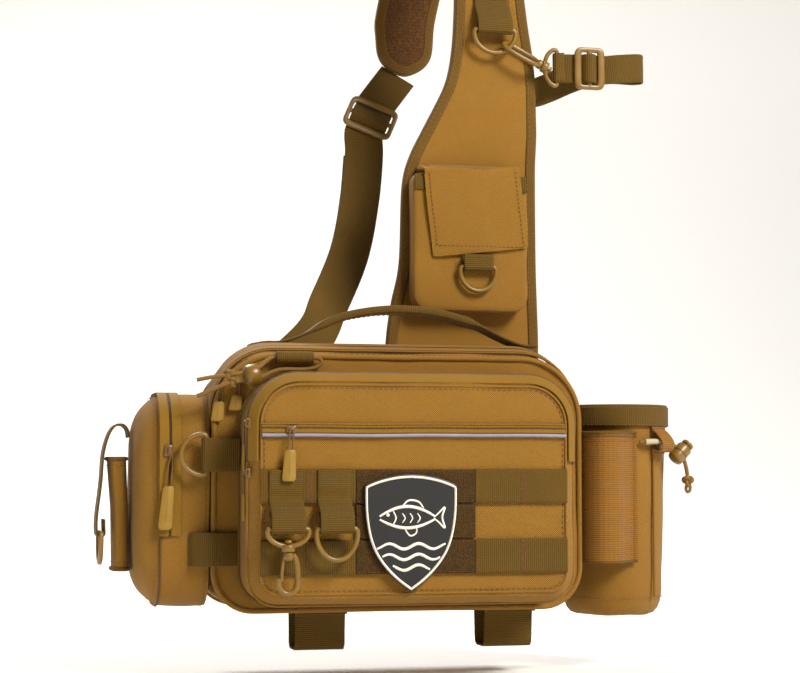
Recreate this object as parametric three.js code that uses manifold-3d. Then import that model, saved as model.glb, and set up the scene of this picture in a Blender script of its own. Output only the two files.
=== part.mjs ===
// Fishing tackle sling bag, in millimetres, +Z up, front towards -Y.
// The origin is the underside of the shoulder strap at its highest point.

import * as THREE from 'three';
import { mergeVertices } from 'three/addons/utils/BufferGeometryUtils.js';
import Module from 'manifold-3d';

const wasm = await Module();
wasm.setup();

// Running clearance between pieces that touch.
const gap = 0.3;

// Cloth, tape and webbing.
const clothWall = 2;
const webbing = 1.6;
const rowHeight = 25;
const strapWidth = 38;
const tapeThickness = 1.6;

// Main compartment. The heights are above its bottom.
const mainWidth = 280;
const mainHeight = 191;
const mainDepth = 100;
const mainCrown = 11;
const mainTopRadius = 46;
const mainBottomRadius = 24;
const mainZipWidth = 20;
const mainZipFoot = 105;

// Front pocket.
const pocketWidth = 241;
const pocketHeight = 165;
const pocketFoot = 11;
const pocketDepth = 50;
const pocketRim = 8;
const pocketTopRadius = 36;
const pocketBottomRadius = 22;
const pocketZipFoot = 105;
const panelZipDrop = 43;

// Side pouch, on the left of the main compartment.
const pouchBulge = 55;
const pouchDepth = 92;
const pouchHeight = 156;
const pouchFoot = 7;
const pouchRadius = 34;
const pouchZipWidth = 13;
const pouchZipFoot = 60;

// Bottle pocket, on the right.
const bottleRadius = 41;
const bottleHeight = 156;
const bottleFloorDrop = 5;
const hemHeight = 15;
const sleeveHeight = 100;
const sleeveFoot = 37;
const sleeveBulge = 19;

// Tool sheath, outside the side pouch.
const sheathWidth = 34;
const sheathThickness = 12;
const sheathHeight = 82;
const sheathFoot = 34;
const sheathLean = 9;

// Webbing loops below the bag, and the carry handle.
const bottomLoopDrop = 24;
const bottomLoopDepth = 30;
const handleSpan = 212;
const handleRise = 24;
const handleWidth = 24;
const handleThickness = 6;

// Sling strap.
const padThickness = 9;
const padBaseWidth = 126;
const padNeckWidth = 58;
const padRunHeight = 335;
const padFoot = 165;
const padArchDepth = 137;
const padArchRise = 75;
const padTail = 41;
const bindingWidth = 3;
const phoneWidth = 96;
const phoneHeight = 112;
const phoneDepth = 17;
const phoneFoot = 232;
const flapHeight = 68;

// Hardware.
const ringWire = 3.4;
const ringWidth = 33;
const ringDrop = 22;
const clipWire = 4;
const cordDiameter = 3;
const patchWidth = 68;
const patchHeight = 83;
const patchThickness = 3;

// Small solids helpers.

function solidOf(geometry) {
  const bare = geometry.clone();
  bare.deleteAttribute('normal');
  bare.deleteAttribute('uv');
  const merged = mergeVertices(bare, 1e-4);
  const mesh = new wasm.Mesh({
    numProp: 3,
    vertProperties: new Float32Array(merged.attributes.position.array),
    triVerts: new Uint32Array(merged.index.array),
  });
  return new wasm.Manifold(mesh);
}

function geometryOf(solid) {
  const mesh = solid.getMesh();
  const geometry = new THREE.BufferGeometry();
  geometry.setAttribute('position', new THREE.BufferAttribute(mesh.vertProperties, 3));
  geometry.setIndex(new THREE.BufferAttribute(mesh.triVerts, 1));
  return geometry;
}

const minus = (a, ...rest) => geometryOf(rest.reduce((s, g) => s.subtract(solidOf(g)), solidOf(a)));
const both = (a, b) => geometryOf(solidOf(a).intersect(solidOf(b)));
const joined = (a, ...rest) => geometryOf(rest.reduce((s, g) => s.add(solidOf(g)), solidOf(a)));

function volumeOf(positions, indices) {
  let volume = 0;
  for (let i = 0; i < indices.length; i += 3) {
    const [a, b, c] = [0, 1, 2].map((k) => positions[indices[i + k]]);
    volume += a.dot(b.clone().cross(c)) / 6;
  }
  return volume;
}

// A skin through rings of equally many points, closed by caps or round onto its first ring.
function loft(rings, closed = false) {
  const count = rings[0].length;
  const positions = rings.flat();
  let indices = [];
  const last = closed ? rings.length : rings.length - 1;
  for (let r = 0; r < last; r += 1) {
    const next = (r + 1) % rings.length;
    for (let i = 0; i < count; i += 1) {
      const j = (i + 1) % count;
      const [a, b] = [r * count + i, r * count + j];
      const [c, d] = [next * count + i, next * count + j];
      indices.push(a, b, c, b, d, c);
    }
  }
  if (!closed) {
    [0, rings.length - 1].forEach((r, end) => {
      const ring = rings[r];
      const normal = new THREE.Vector3();
      ring.forEach((p, i) => normal.add(p.clone().cross(ring[(i + 1) % count])));
      normal.normalize();
      const along = ring[1].clone().sub(ring[0]).normalize();
      const across = normal.clone().cross(along);
      const flat = ring.map((p) => new THREE.Vector2(p.dot(along), p.dot(across)));
      THREE.ShapeUtils.triangulateShape(flat, []).forEach(([a, b, c]) => {
        const face = end ? [a, b, c] : [a, c, b];
        indices.push(...face.map((k) => r * count + k));
      });
    });
  }
  if (volumeOf(positions, indices) < 0) {
    indices = indices.map((v, i) => (i % 3 === 1 ? indices[i + 1] : i % 3 === 2 ? indices[i - 1] : v));
  }
  const geometry = new THREE.BufferGeometry();
  const numbers = positions.flatMap((p) => [p.x, p.y, p.z]);
  geometry.setAttribute('position', new THREE.Float32BufferAttribute(numbers, 3));
  geometry.setIndex(indices);
  return geometry;
}

const vec = (x, y, z) => new THREE.Vector3(x, y, z);

// The directions of travel along a row of points.
function tangentsOf(points, closed = false) {
  const n = points.length;
  return points.map((p, i) => {
    const before = closed ? points[(i + n - 1) % n] : points[Math.max(i - 1, 0)];
    const after = closed ? points[(i + 1) % n] : points[Math.min(i + 1, n - 1)];
    return after.clone().sub(before).normalize();
  });
}

// A flat section carried along points. The sides give the direction of its width at each point.
function ribbon(points, sides, width, thickness, closed = false) {
  const tangents = tangentsOf(points, closed);
  const rings = points.map((p, i) => {
    const up = sides[i].clone().cross(tangents[i]).normalize();
    const side = tangents[i].clone().cross(up).normalize();
    return [[-1, -1], [1, -1], [1, 1], [-1, 1]].map(([s, u]) =>
      p.clone().addScaledVector(side, s * width / 2).addScaledVector(up, u * thickness / 2));
  });
  return loft(rings, closed);
}

// The same, with the direction of its face given instead.
function strip(points, normals, width, thickness, closed = false) {
  const tangents = tangentsOf(points, closed);
  return ribbon(points, tangents.map((t, i) => t.clone().cross(normals[i])), width, thickness, closed);
}

// The same, with one side direction all the way.
function bentStrip(points, side, width, thickness, closed = false) {
  return ribbon(points, points.map(() => side), width, thickness, closed);
}

// Round wire carried along points, with a fixed reference direction square to no bend.
function wire(points, diameter, reference, sides = 6, closed = false) {
  const tangents = tangentsOf(points, closed);
  const rings = points.map((p, i) => {
    const side = tangents[i].clone().cross(reference).normalize();
    const up = side.clone().cross(tangents[i]).normalize();
    return Array.from({ length: sides }, (_, k) => {
      const turn = (k + 0.5) * 2 * Math.PI / sides;
      return p.clone()
        .addScaledVector(side, Math.cos(turn) * diameter / 2)
        .addScaledVector(up, Math.sin(turn) * diameter / 2);
    });
  });
  return loft(rings, closed);
}

// Points on an arc from one angle to another, in a plane given by two directions.
function arc(centre, radius, from, to, steps, across, up) {
  return Array.from({ length: steps + 1 }, (_, i) => {
    const turn = from + (to - from) * i / steps;
    return centre.clone()
      .addScaledVector(across, Math.cos(turn) * radius)
      .addScaledVector(up, Math.sin(turn) * radius);
  });
}

// A rectangle with round corners, as points running round it from the bottom left.
function roundedOutline(width, foot, height, topRadius, bottomRadius, steps = 5) {
  const corners = [
    { x: -1, z: 0, radius: bottomRadius, start: 1 },
    { x: 1, z: 0, radius: bottomRadius, start: 1.5 },
    { x: 1, z: 1, radius: topRadius, start: 0 },
    { x: -1, z: 1, radius: topRadius, start: 0.5 },
  ];
  return corners.flatMap(({ x, z, radius, start }) => {
    const centre = vec(x * (width / 2 - radius), 0, foot + (z ? height - radius : radius));
    return arc(centre, radius, start * Math.PI, (start + 0.5) * Math.PI, steps, vec(1, 0, 0), vec(0, 0, 1));
  });
}

function box(x0, x1, y0, y1, z0, z1) {
  return new THREE.BoxGeometry(x1 - x0, y1 - y0, z1 - z0)
    .translate((x0 + x1) / 2, (y0 + y1) / 2, (z0 + z1) / 2);
}

// An outline in X and Z pushed along Y.
function slab(outline, y0, y1) {
  return loft([y0, y1].map((y) => outline.map((p) => vec(p.x, y, p.z))));
}

const bag = new THREE.Group();

const finishes = {
  cloth: { color: 0xa87b3a, roughness: 0.85, metalness: 0 },
  webbing: { color: 0x6b5210, roughness: 0.8, metalness: 0 },
  tape: { color: 0x8f6a1e, roughness: 0.75, metalness: 0 },
  plastic: { color: 0x9a6b2b, roughness: 0.45, metalness: 0 },
  piping: { color: 0x9a92a6, roughness: 0.5, metalness: 0 },
  cord: { color: 0x9c7840, roughness: 0.8, metalness: 0 },
  patch: { color: 0x262322, roughness: 0.6, metalness: 0 },
};

function add(name, geometry, finish) {
  const mesh = new THREE.Mesh(geometry, new THREE.MeshStandardMaterial(finishes[finish]));
  mesh.name = name;
  bag.add(mesh);
}

// Main compartment: crowned between its front and back seams.
const mainSections = [
  { depth: -0.5, crown: 0 },
  { depth: -0.38, crown: 0.7 },
  { depth: 0, crown: 1 },
  { depth: 0.38, crown: 0.7 },
  { depth: 0.5, crown: 0 },
];
const mainFront = -mainDepth / 2;
const mainBack = mainDepth / 2;
const mainSide = mainWidth / 2;
const mainTop = mainHeight + mainCrown;
const mainZipPlace = mainFront + mainZipWidth;

function mainSkin(inset) {
  return loft(mainSections.map(({ depth, crown }) => roundedOutline(
    mainWidth - 2 * inset,
    inset,
    mainHeight + crown * mainCrown - 2 * inset,
    mainTopRadius - inset,
    mainBottomRadius - inset,
  ).map((p) => vec(p.x, depth * (mainDepth - 2 * inset), p.z))));
}

function mainSlot(grow) {
  const half = mainZipWidth / 2 + grow;
  const [near, far] = [mainZipPlace - half, mainZipPlace + half];
  return box(-mainWidth, mainWidth, near, far, mainZipFoot - grow, 2 * mainTop);
}

const mainWall = minus(mainSkin(0), mainSkin(clothWall));
add('main_shell', minus(mainWall, mainSlot(gap)), 'cloth');
add('main_zip', both(mainWall, mainSlot(0)), 'tape');

// Front pocket: a tray that opens towards the main compartment.
const pocketBack = mainFront - gap;
const pocketFront = mainFront - pocketDepth;
const pocketTop = pocketFoot + pocketHeight;
const pocketOutline = (inset) => roundedOutline(
  pocketWidth - 2 * inset,
  pocketFoot + inset,
  pocketHeight - 2 * inset,
  pocketTopRadius - inset,
  pocketBottomRadius - inset,
  6,
);

function pocketSkin(inset, back) {
  const rings = [
    { y: back, inset },
    { y: pocketFront + pocketRim + inset / 2, inset },
    { y: pocketFront + inset, inset: inset + pocketRim - inset / 2 },
  ];
  return loft(rings.map((ring) => pocketOutline(ring.inset).map((p) => vec(p.x, ring.y, p.z))));
}

const pocketHollow = pocketSkin(clothWall, pocketBack + clothWall);
add('front_pocket', minus(pocketSkin(0, pocketBack), pocketHollow), 'cloth');

// The pocket's zip lies on the bevelled rim, over the top and part of the way down both sides.
function rimPath(inset) {
  const outline = pocketOutline(inset).slice(14);
  const half = pocketWidth / 2 - inset;
  return [vec(half, 0, pocketZipFoot), ...outline, vec(-half, 0, pocketZipFoot)];
}
const rimMiddle = rimPath(pocketRim / 2);
const rimNormals = rimPath(0).map((p, i) =>
  p.clone().sub(rimMiddle[i]).setLength(1).add(vec(0, -1, 0)).normalize());
const rimSeat = gap + tapeThickness / 2;
const rimPoints = rimMiddle.map((p, i) =>
  vec(p.x, pocketFront + pocketRim / 2, p.z).addScaledVector(rimNormals[i], rimSeat));
const pocketZipWidth = pocketRim * 1.15;
add('front_pocket_zip', strip(rimPoints, rimNormals, pocketZipWidth, tapeThickness), 'tape');

// Zip across the front panel, with reflective piping below it.
const panelHalf = pocketWidth / 2 - pocketRim;
const seat = pocketFront - gap;
const panelZipFoot = pocketTop - panelZipDrop;
const panelZipHeight = 6;
const pipingHeight = 2.6;
add('front_panel_zip', box(-panelHalf, panelHalf, seat - tapeThickness, seat,
  panelZipFoot + gap, panelZipFoot + panelZipHeight), 'tape');
add('reflective_piping', box(-panelHalf, panelHalf, seat - tapeThickness, seat,
  panelZipFoot - pipingHeight, panelZipFoot), 'piping');

// Webbing rows and the hook-and-loop field between them.
const rowsDrop = rowHeight;
const rowsTop = panelZipFoot - rowsDrop;
const rowPitch = 2 * rowHeight;
const fieldLeft = -44;
const fieldRight = 43;
const fieldThickness = 2.2;
const rows = [
  { name: 'upper', top: rowsTop },
  { name: 'lower', top: rowsTop - rowPitch },
];
rows.forEach(({ name, top }) => {
  const row = (from, to) => box(from, to, seat - webbing, seat, top - rowHeight, top);
  add(`molle_${name}_left`, row(-panelHalf, fieldLeft - gap), 'webbing');
  add(`molle_${name}_right`, row(fieldRight + gap, panelHalf), 'webbing');
});
const fieldFoot = rowsTop - 3 * rowHeight;
const groove = 1.2;
const grooves = [1, 2].map((i) => box(fieldLeft - 1, fieldRight + 1, seat - fieldThickness - 1,
  seat - fieldThickness / 2, rowsTop - i * rowHeight - groove / 2, rowsTop - i * rowHeight + groove / 2));
const field = box(fieldLeft, fieldRight, seat - fieldThickness, seat, fieldFoot, rowsTop);
add('loop_field', minus(field, ...grooves), 'webbing');

// Shield patch, as shares of its width and height from its middle top.
const shieldHalf = [
  { across: 0, down: 0 },
  { across: 0.25, down: 0.022 },
  { across: 0.5, down: 0.095 },
  { across: 0.5, down: 0.3 },
  { across: 0.46, down: 0.5 },
  { across: 0.41, down: 0.64 },
  { across: 0.3, down: 0.78 },
  { across: 0.17, down: 0.9 },
  { across: 0, down: 1 },
];
const patchPlace = { x: -5, top: rowsTop - 4 };
const shieldLeft = shieldHalf.slice(1, -1).reverse().map(({ across, down }) => ({ across: -across, down }));
const shield = [...shieldHalf, ...shieldLeft].map(({ across, down }) =>
  vec(patchPlace.x + across * patchWidth, 0, patchPlace.top - down * patchHeight));
const patchBack = seat - fieldThickness - gap;
add('shield_patch', slab(shield, patchBack - patchThickness, patchBack), 'patch');

// D-rings hang from a straight bar. Their plane is given by the bar and the way they hang.
const ringHalf = (ringWidth - ringWire) / 2;
function dRing(bar, along, down, drop = ringDrop, half = ringHalf) {
  const bow = Array.from({ length: 11 }, (_, i) => {
    const turn = Math.PI * i / 10;
    return bar.clone()
      .addScaledVector(along, Math.cos(turn) * half)
      .addScaledVector(down, (0.12 + 0.88 * Math.sin(turn)) * drop);
  });
  const ends = [-1, -0.4, 0.4, 1].map((share) => bar.clone().addScaledVector(along, share * half));
  return wire([...ends, ...bow], ringWire, along.clone().cross(down), 6, true);
}

// Webbing folded round a bar: the points come down the front, round the bar and back up behind.
const foldRadius = ringWire / 2 + gap + webbing / 2;
// How far the folded webbing runs back behind its ring's bar.
const foldBack = 9;
function fold(bar, down, out, steps = 4) {
  return arc(bar, foldRadius, 0, Math.PI, steps, out, down);
}

const right = vec(1, 0, 0);
const up = vec(0, 0, 1);
const down = vec(0, 0, -1);
const out = vec(0, -1, 0);
const left = vec(-1, 0, 0);

// Two tabs on the upper row, with the D-ring and the swivel hook that they carry.
const tabFront = seat - webbing - gap - webbing / 2;
const barReach = 9.3;
const barOut = tabFront - barReach;
const barHeight = rowsTop - rowHeight - 17;
const tabPlaces = [
  { name: 'hook_tab', x: -94.5 },
  { name: 'ring_tab', x: -60 },
];
tabPlaces.forEach(({ name, x }) => {
  const bar = vec(x, barOut, barHeight);
  const points = [
    vec(x, tabFront, rowsTop - 1),
    vec(x, tabFront, rowsTop - rowHeight + 2),
    vec(x, barOut - foldRadius, barHeight + foldBack / 2),
    ...fold(bar, down, out),
    vec(x, barOut + foldRadius, barHeight + foldBack / 2),
    vec(x, tabFront - 1.2, barHeight + foldBack + 2),
  ];
  add(name, bentStrip(points, right, rowHeight, webbing), 'webbing');
});
add('front_d_ring', dRing(vec(tabPlaces[1].x, barOut, barHeight), right, down), 'plastic');

// Swivel snap: an eye with a bored collar, and a hook whose headed pin turns in it.
const collarRadius = 4.6;
const collarHeight = 5;
const pinRadius = 1.5;
const eyeDrop = 11;
const snapHalf = 8;
const snapLength = 26;
// Centre line of the hook, as shares of its half width and length, from the gate's tip round.
const snapLine = [
  { across: -1, along: 0.56 },
  { across: -0.95, along: 0.3 },
  { across: -0.45, along: 0.12 },
  { across: 0, along: 0.08 },
  { across: 0.45, along: 0.12 },
  { across: 0.95, along: 0.3 },
  { across: 1, along: 0.62 },
  { across: 0.75, along: 0.86 },
  { across: 0.15, along: 1 },
  { across: -0.55, along: 0.94 },
  { across: -1, along: 0.76 },
];

function turned(geometry, axis) {
  const turn = new THREE.Quaternion().setFromUnitVectors(vec(0, 1, 0), axis);
  return geometry.applyQuaternion(turn);
}

function peg(centre, axis, radius, length, sides = 12) {
  return turned(new THREE.CylinderGeometry(radius, radius, length, sides), axis)
    .translate(centre.x, centre.y, centre.z);
}

function swivelEye(bar, along, away) {
  const collar = bar.clone().addScaledVector(away, eyeDrop + collarHeight / 2);
  const ring = dRing(bar, along, away, eyeDrop + 1, ringHalf);
  const body = joined(ring, peg(collar, away, collarRadius, collarHeight));
  return minus(body, peg(collar, away, pinRadius + gap, collarHeight * 3));
}

function snapHook(bar, across, away) {
  const foot = bar.clone().addScaledVector(away, eyeDrop + collarHeight);
  const head = bar.clone().addScaledVector(away, eyeDrop - 2.3);
  const pinLength = collarHeight + 4.3;
  const pin = peg(foot.clone().addScaledVector(away, 2 - pinLength / 2), away, pinRadius, pinLength);
  const line = snapLine.map((row) => foot.clone()
    .addScaledVector(across, row.across * snapHalf)
    .addScaledVector(away, 2 + row.along * snapLength));
  const loop = wire(line, clipWire, across.clone().cross(away), 6);
  const shank = peg(foot.clone().addScaledVector(away, 3), away, collarRadius - 0.8, 5);
  return joined(shank, pin, peg(head, away, pinRadius + 1.2, 2), loop);
}

const eyeBar = vec(tabPlaces[0].x, barOut, barHeight);
add('hook_eye', swivelEye(eyeBar, right, down), 'plastic');
add('swivel_hook', snapHook(eyeBar, right, down), 'plastic');

// Zip pulls: a wire link and a moulded tab hanging from it.
function zipPull(top, hang, across, length) {
  const lean = hang.clone().normalize();
  const link = strip([0, 0.45].map((share) => top.clone().addScaledVector(lean, share * length)),
    [0, 0.45].map(() => across.clone().cross(lean)), 3.2, 2.4);
  const tab = strip([0.45, 0.52, 0.94, 1].map((share) => top.clone().addScaledVector(lean, share * length)),
    [0, 1, 2, 3].map(() => across.clone().cross(lean)), 9.5, 3);
  return joined(link, tab);
}

const panelPullTop = vec(-91, seat - tapeThickness - gap - 2, panelZipFoot + panelZipHeight - 2);
add('front_panel_pull', zipPull(panelPullTop, vec(-0.06, -0.05, -1), right, 38), 'tape');
const sidePullSeat = -pocketWidth / 2 - gap - 1.5;
const sidePullPlace = pocketFront + pocketRim + 6;
const upperPullTop = vec(sidePullSeat, sidePullPlace, pocketZipFoot + 34);
const lowerPullTop = vec(sidePullSeat, sidePullPlace, pocketZipFoot - 1);
add('front_pocket_pull_upper', zipPull(upperPullTop, down, out, 33), 'tape');
add('front_pocket_pull_lower', zipPull(lowerPullTop, down, out, 33), 'tape');

// Side pouch: a tray against the left side, bulging outwards.
const pouchSections = [
  { out: 0, size: 1 },
  { out: 0.68, size: 1 },
  { out: 0.87, size: 0.87 },
  { out: 1, size: 0.66 },
];
const pouchInner = -mainSide - gap;

function pouchOutline(size, inset) {
  const width = pouchDepth * size - 2 * inset;
  const height = pouchHeight * size - 2 * inset;
  const foot = pouchFoot + pouchHeight * (1 - size) / 2 + inset;
  return roundedOutline(width, foot, height, pouchRadius * size - inset, pouchRadius * size - inset, 4);
}

function pouchSkin(inset, start) {
  return loft(pouchSections.map((row, i) => pouchOutline(row.size, inset)
    .map((p) => vec(i ? pouchInner - row.out * (pouchBulge - inset) : start, p.x, p.z))));
}

add('side_pouch', minus(pouchSkin(0, pouchInner), pouchSkin(clothWall, pouchInner + clothWall)), 'cloth');

const pouchZipPlace = pouchInner - 0.68 * pouchBulge + pouchZipWidth / 2 + 1.5;
const pouchRoof = pouchOutline(1, 0).slice(10);
const pouchZipPath = [
  vec(pouchDepth / 2, 0, pouchZipFoot),
  ...pouchRoof,
  vec(-pouchDepth / 2, 0, pouchZipFoot),
];
const pouchMiddle = vec(0, 0, pouchFoot + pouchHeight / 2);
const pouchZipNormals = pouchZipPath.map((p) => {
  const away = p.clone().sub(pouchMiddle);
  const corner = vec(Math.sign(away.x) * (pouchDepth / 2 - pouchRadius), 0, pouchHeight / 2 - pouchRadius);
  const round = away.clone().sub(corner);
  const flat = away.z < corner.z ? vec(away.x, 0, 0) : round;
  return vec(0, flat.x, flat.z).normalize();
});
const pouchZipPoints = pouchZipPath.map((p, i) =>
  vec(pouchZipPlace, p.x, p.z).addScaledVector(pouchZipNormals[i], gap + tapeThickness / 2));
add('side_pouch_zip', strip(pouchZipPoints, pouchZipNormals, pouchZipWidth, tapeThickness), 'tape');
const pouchFace = -pouchDepth / 2;
const pouchPullDepth = pouchFace - gap - tapeThickness - 2;
const pouchPullTop = vec(pouchZipPlace + 1, pouchPullDepth, pouchFoot + 0.711 * pouchHeight);
add('side_pouch_pull', zipPull(pouchPullTop, vec(-0.08, -0.02, -1), right, 54), 'tape');

// Webbing at the front of the side pouch: a tab with a D-ring on end, and a keeper.
const sideTabDrop = 58;
const sideBar = vec(-145, mainFront - 5.2, pocketTop - sideTabDrop);
const sideTabEnd = -pocketWidth / 2 - gap;
add('side_ring_tab', bentStrip([
  vec(sideTabEnd, sideBar.y - foldRadius, sideBar.z),
  ...fold(sideBar, left, out),
  vec(sideTabEnd - 6, sideBar.y + foldRadius, sideBar.z),
], up, rowHeight, webbing), 'webbing');
add('side_d_ring', dRing(sideBar, up, left, 18), 'plastic');
const keeperPath = [
  { x: -155.5, off: 1.1 },
  { x: -152, off: 5 },
  { x: -145, off: 7.2 },
  { x: -134, off: 7.6 },
  { x: -127, off: 6.8 },
  { x: sideTabEnd, off: 5.2 },
];
add('side_keeper', bentStrip(keeperPath.map(({ x, off }) => vec(x, pouchFace - off, 50)),
  up, rowHeight, webbing), 'webbing');

// Tool sheath on the outer panel, open at both ends, with its strap and D-ring.
const pouchOuter = pouchInner - pouchBulge;
const sheathTop = sheathFoot + sheathHeight;
const sheathRings = [
  { z: sheathFoot, lean: 0 },
  { z: sheathFoot + 0.55 * sheathHeight, lean: 0.25 },
  { z: sheathTop, lean: 1 },
];

function sheathSkin(inset, over) {
  return loft(sheathRings.map(({ z, lean }, i) => {
    const middle = pouchOuter - gap - sheathThickness / 2 - lean * sheathLean * 0.35;
    const thickness = sheathThickness + lean * 2 - 2 * inset;
    return roundedOutline(sheathWidth - 2 * inset, -thickness / 2, thickness, 4 - inset, 4 - inset, 2)
      .map((p) => vec(middle + p.z, p.x, z + (i - 1) * over));
  }));
}

add('tool_sheath', minus(sheathSkin(0, 0), sheathSkin(webbing, 1)), 'cloth');
// The retention strap, as shares of its standoff and of the sheath's height above the sheath's foot.
const strapStandoff = 20;
const sheathStrap = [
  { out: 0, rise: 1.183 },
  { out: 0.06, rise: 1.256 },
  { out: 0.25, rise: 1.299 },
  { out: 0.55, rise: 1.28 },
  { out: 0.775, rise: 1.183 },
  { out: 0.93, rise: 1.024 },
  { out: 1, rise: 0.78 },
  { out: 1.03, rise: 0.537 },
];
const sheathOuter = pouchOuter - gap - webbing / 2;
const sheathBar = vec(sheathOuter - strapStandoff, -2, sheathFoot + 0.33 * sheathHeight);
add('sheath_tab', bentStrip([
  ...sheathStrap.map(({ out: off, rise }) =>
    vec(sheathOuter - off * strapStandoff, sheathBar.y, sheathFoot + rise * sheathHeight)),
  ...fold(sheathBar, down, left),
  vec(sheathBar.x + foldRadius - 0.4, sheathBar.y, sheathBar.z + foldBack),
], vec(0, 1, 0), rowHeight, webbing), 'webbing');
add('sheath_d_ring', dRing(sheathBar, vec(0, 1, 0), down), 'plastic');

// Bottle pocket: a round cup with a webbing hem.
const bottlePlace = mainSide + 2 * gap + webbing + bottleRadius;
const bottleTop = bottleHeight;
const bottleSide = 28;

function turnedCup(rows) {
  const profile = rows.map(({ r, z }) => new THREE.Vector2(r, z));
  return new THREE.LatheGeometry(profile, bottleSide).rotateX(Math.PI / 2).translate(bottlePlace, 0, 0);
}

const cupInner = bottleRadius - clothWall;
add('bottle_pocket', turnedCup([
  { r: 0, z: -bottleFloorDrop },
  { r: bottleRadius * 0.74, z: -bottleFloorDrop },
  { r: bottleRadius * 0.93, z: 1 },
  { r: bottleRadius, z: 15 },
  { r: bottleRadius, z: bottleTop },
  { r: cupInner, z: bottleTop },
  { r: cupInner, z: 16 },
  { r: cupInner * 0.93, z: 3.2 },
  { r: cupInner * 0.74, z: clothWall - bottleFloorDrop },
  { r: 0, z: clothWall - bottleFloorDrop },
]), 'cloth');
const hemInner = bottleRadius + gap;
add('bottle_hem', turnedCup([
  { r: hemInner, z: bottleTop - hemHeight },
  { r: hemInner + webbing, z: bottleTop - hemHeight },
  { r: hemInner + webbing, z: bottleTop },
  { r: hemInner, z: bottleTop },
  { r: hemInner, z: bottleTop - hemHeight },
]), 'webbing');

// Elastic sleeve from the side of the compartment to the front of the bottle pocket.
const sleeveEnd = Math.PI * -0.52;
const sleeveSeat = bottleRadius + gap + webbing / 2;
const sleeveWall = mainSide + gap + webbing / 2;
const sleeveReach = bottlePlace + Math.cos(sleeveEnd) * sleeveSeat;
const sleeveBow = [
  { across: 0, out: -0.45 },
  { across: 0.01, out: 0.05 },
  { across: 0.08, out: 0.55 },
  { across: 0.25, out: 0.92 },
  { across: 0.45, out: 1 },
  { across: 0.66, out: 0.85 },
  { across: 0.85, out: 0.4 },
];
const sleeveLanding = Math.sin(sleeveEnd) * sleeveSeat;
const sleevePath = sleeveBow.map(({ across, out: bow }) => vec(
  sleeveWall + across * (sleeveReach - sleeveWall),
  sleeveLanding - bow * sleeveBulge,
  sleeveFoot + sleeveHeight / 2,
));
const landing = [-0.5, -0.485, -0.47].map((share) => vec(
  bottlePlace + Math.cos(share * Math.PI) * sleeveSeat,
  Math.sin(share * Math.PI) * sleeveSeat,
  sleeveFoot + sleeveHeight / 2,
));
add('rod_sleeve', bentStrip([...sleevePath, ...landing], up, sleeveHeight, webbing), 'tape');

// Drawcord of the bottle pocket: a webbing tunnel, the elastic cord, its lock and its knot.
const around = (turn, r, z) => vec(bottlePlace + Math.cos(turn) * r, Math.sin(turn) * r, z);
const tabTurn = -0.3 * Math.PI;
const tabAway = around(tabTurn, 1, 0).sub(around(tabTurn, 0, 0));
const tabSide = vec(-tabAway.y, tabAway.x, 0);
const tunnel = [
  { out: 0, height: 15.5 },
  { out: 0, height: 13.5 },
  { out: 5, height: 9 },
  { out: 9, height: 3 },
  { out: 8, height: -2 },
  { out: 4, height: -3.5 },
  { out: 0, height: -2.5 },
  { out: 0, height: -5 },
];
const tunnelDrop = 31;
const tunnelHeight = bottleTop - tunnelDrop;
add('drawcord_tab', bentStrip(tunnel.map((row) =>
  around(tabTurn, sleeveSeat + row.out, tunnelHeight + row.height)), tabSide, 17, webbing), 'webbing');

function cordTube(points, diameter, steps) {
  const section = new THREE.Shape(Array.from({ length: 8 }, (_, i) => new THREE.Vector2(
    Math.cos(i * Math.PI / 4) * diameter / 2,
    Math.sin(i * Math.PI / 4) * diameter / 2,
  )));
  const curve = new THREE.CatmullRomCurve3(points);
  return new THREE.ExtrudeGeometry(section, { extrudePath: curve, steps, bevelEnabled: false });
}

// The drawcord's route, chosen by hand and given above the tunnel's middle: out of the pocket's wall,
// through the tunnel and the lock.
const drawcordRoute = [
  [189.8, -42.4, 3.4], [194, -42.8, 3.7], [198.6, -42.4, 4], [203.4, -41.2, 4],
  [208, -39.2, 3.8], [212.6, -36.6, 3.2], [216.8, -33.8, 2.4], [220.8, -31.5, 1.4],
  [224.6, -30.7, -0.6], [227.4, -30.5, -4.2], [229.6, -30.2, -8.2], [231.2, -29.8, -12.2],
  [232.3, -29.5, -16], [233, -29.3, -19.4], [233.4, -29.2, -22.2],
].map(([x, y, z]) => vec(x, y, tunnelHeight + z));
add('drawcord', cordTube(drawcordRoute, cordDiameter, 26), 'cord');
const lockCentre = vec(227.4, -30.5, tunnelHeight - 4.2);
const lockBore = vec(5, 0.5, -7.6).normalize();
const lockAxis = vec(0.72, 0.16, 0.68).normalize();
const lockLength = 19;
const lockBody = joined(
  peg(lockCentre.clone().addScaledVector(lockAxis, -1), lockAxis, 6.2, lockLength - 5, 14),
  peg(lockCentre.clone().addScaledVector(lockAxis, lockLength / 2 - 2.5), lockAxis, 4.6, 6, 12),
);
add('cord_lock', minus(lockBody, peg(lockCentre, lockBore, cordDiameter / 2 + 1, 30)), 'plastic');
const knotCentre = vec(233.8, -29, tunnelHeight - 26.2);
add('drawcord_knot', new THREE.IcosahedronGeometry(3.6, 1)
  .translate(knotCentre.x, knotCentre.y, knotCentre.z), 'cord');

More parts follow.
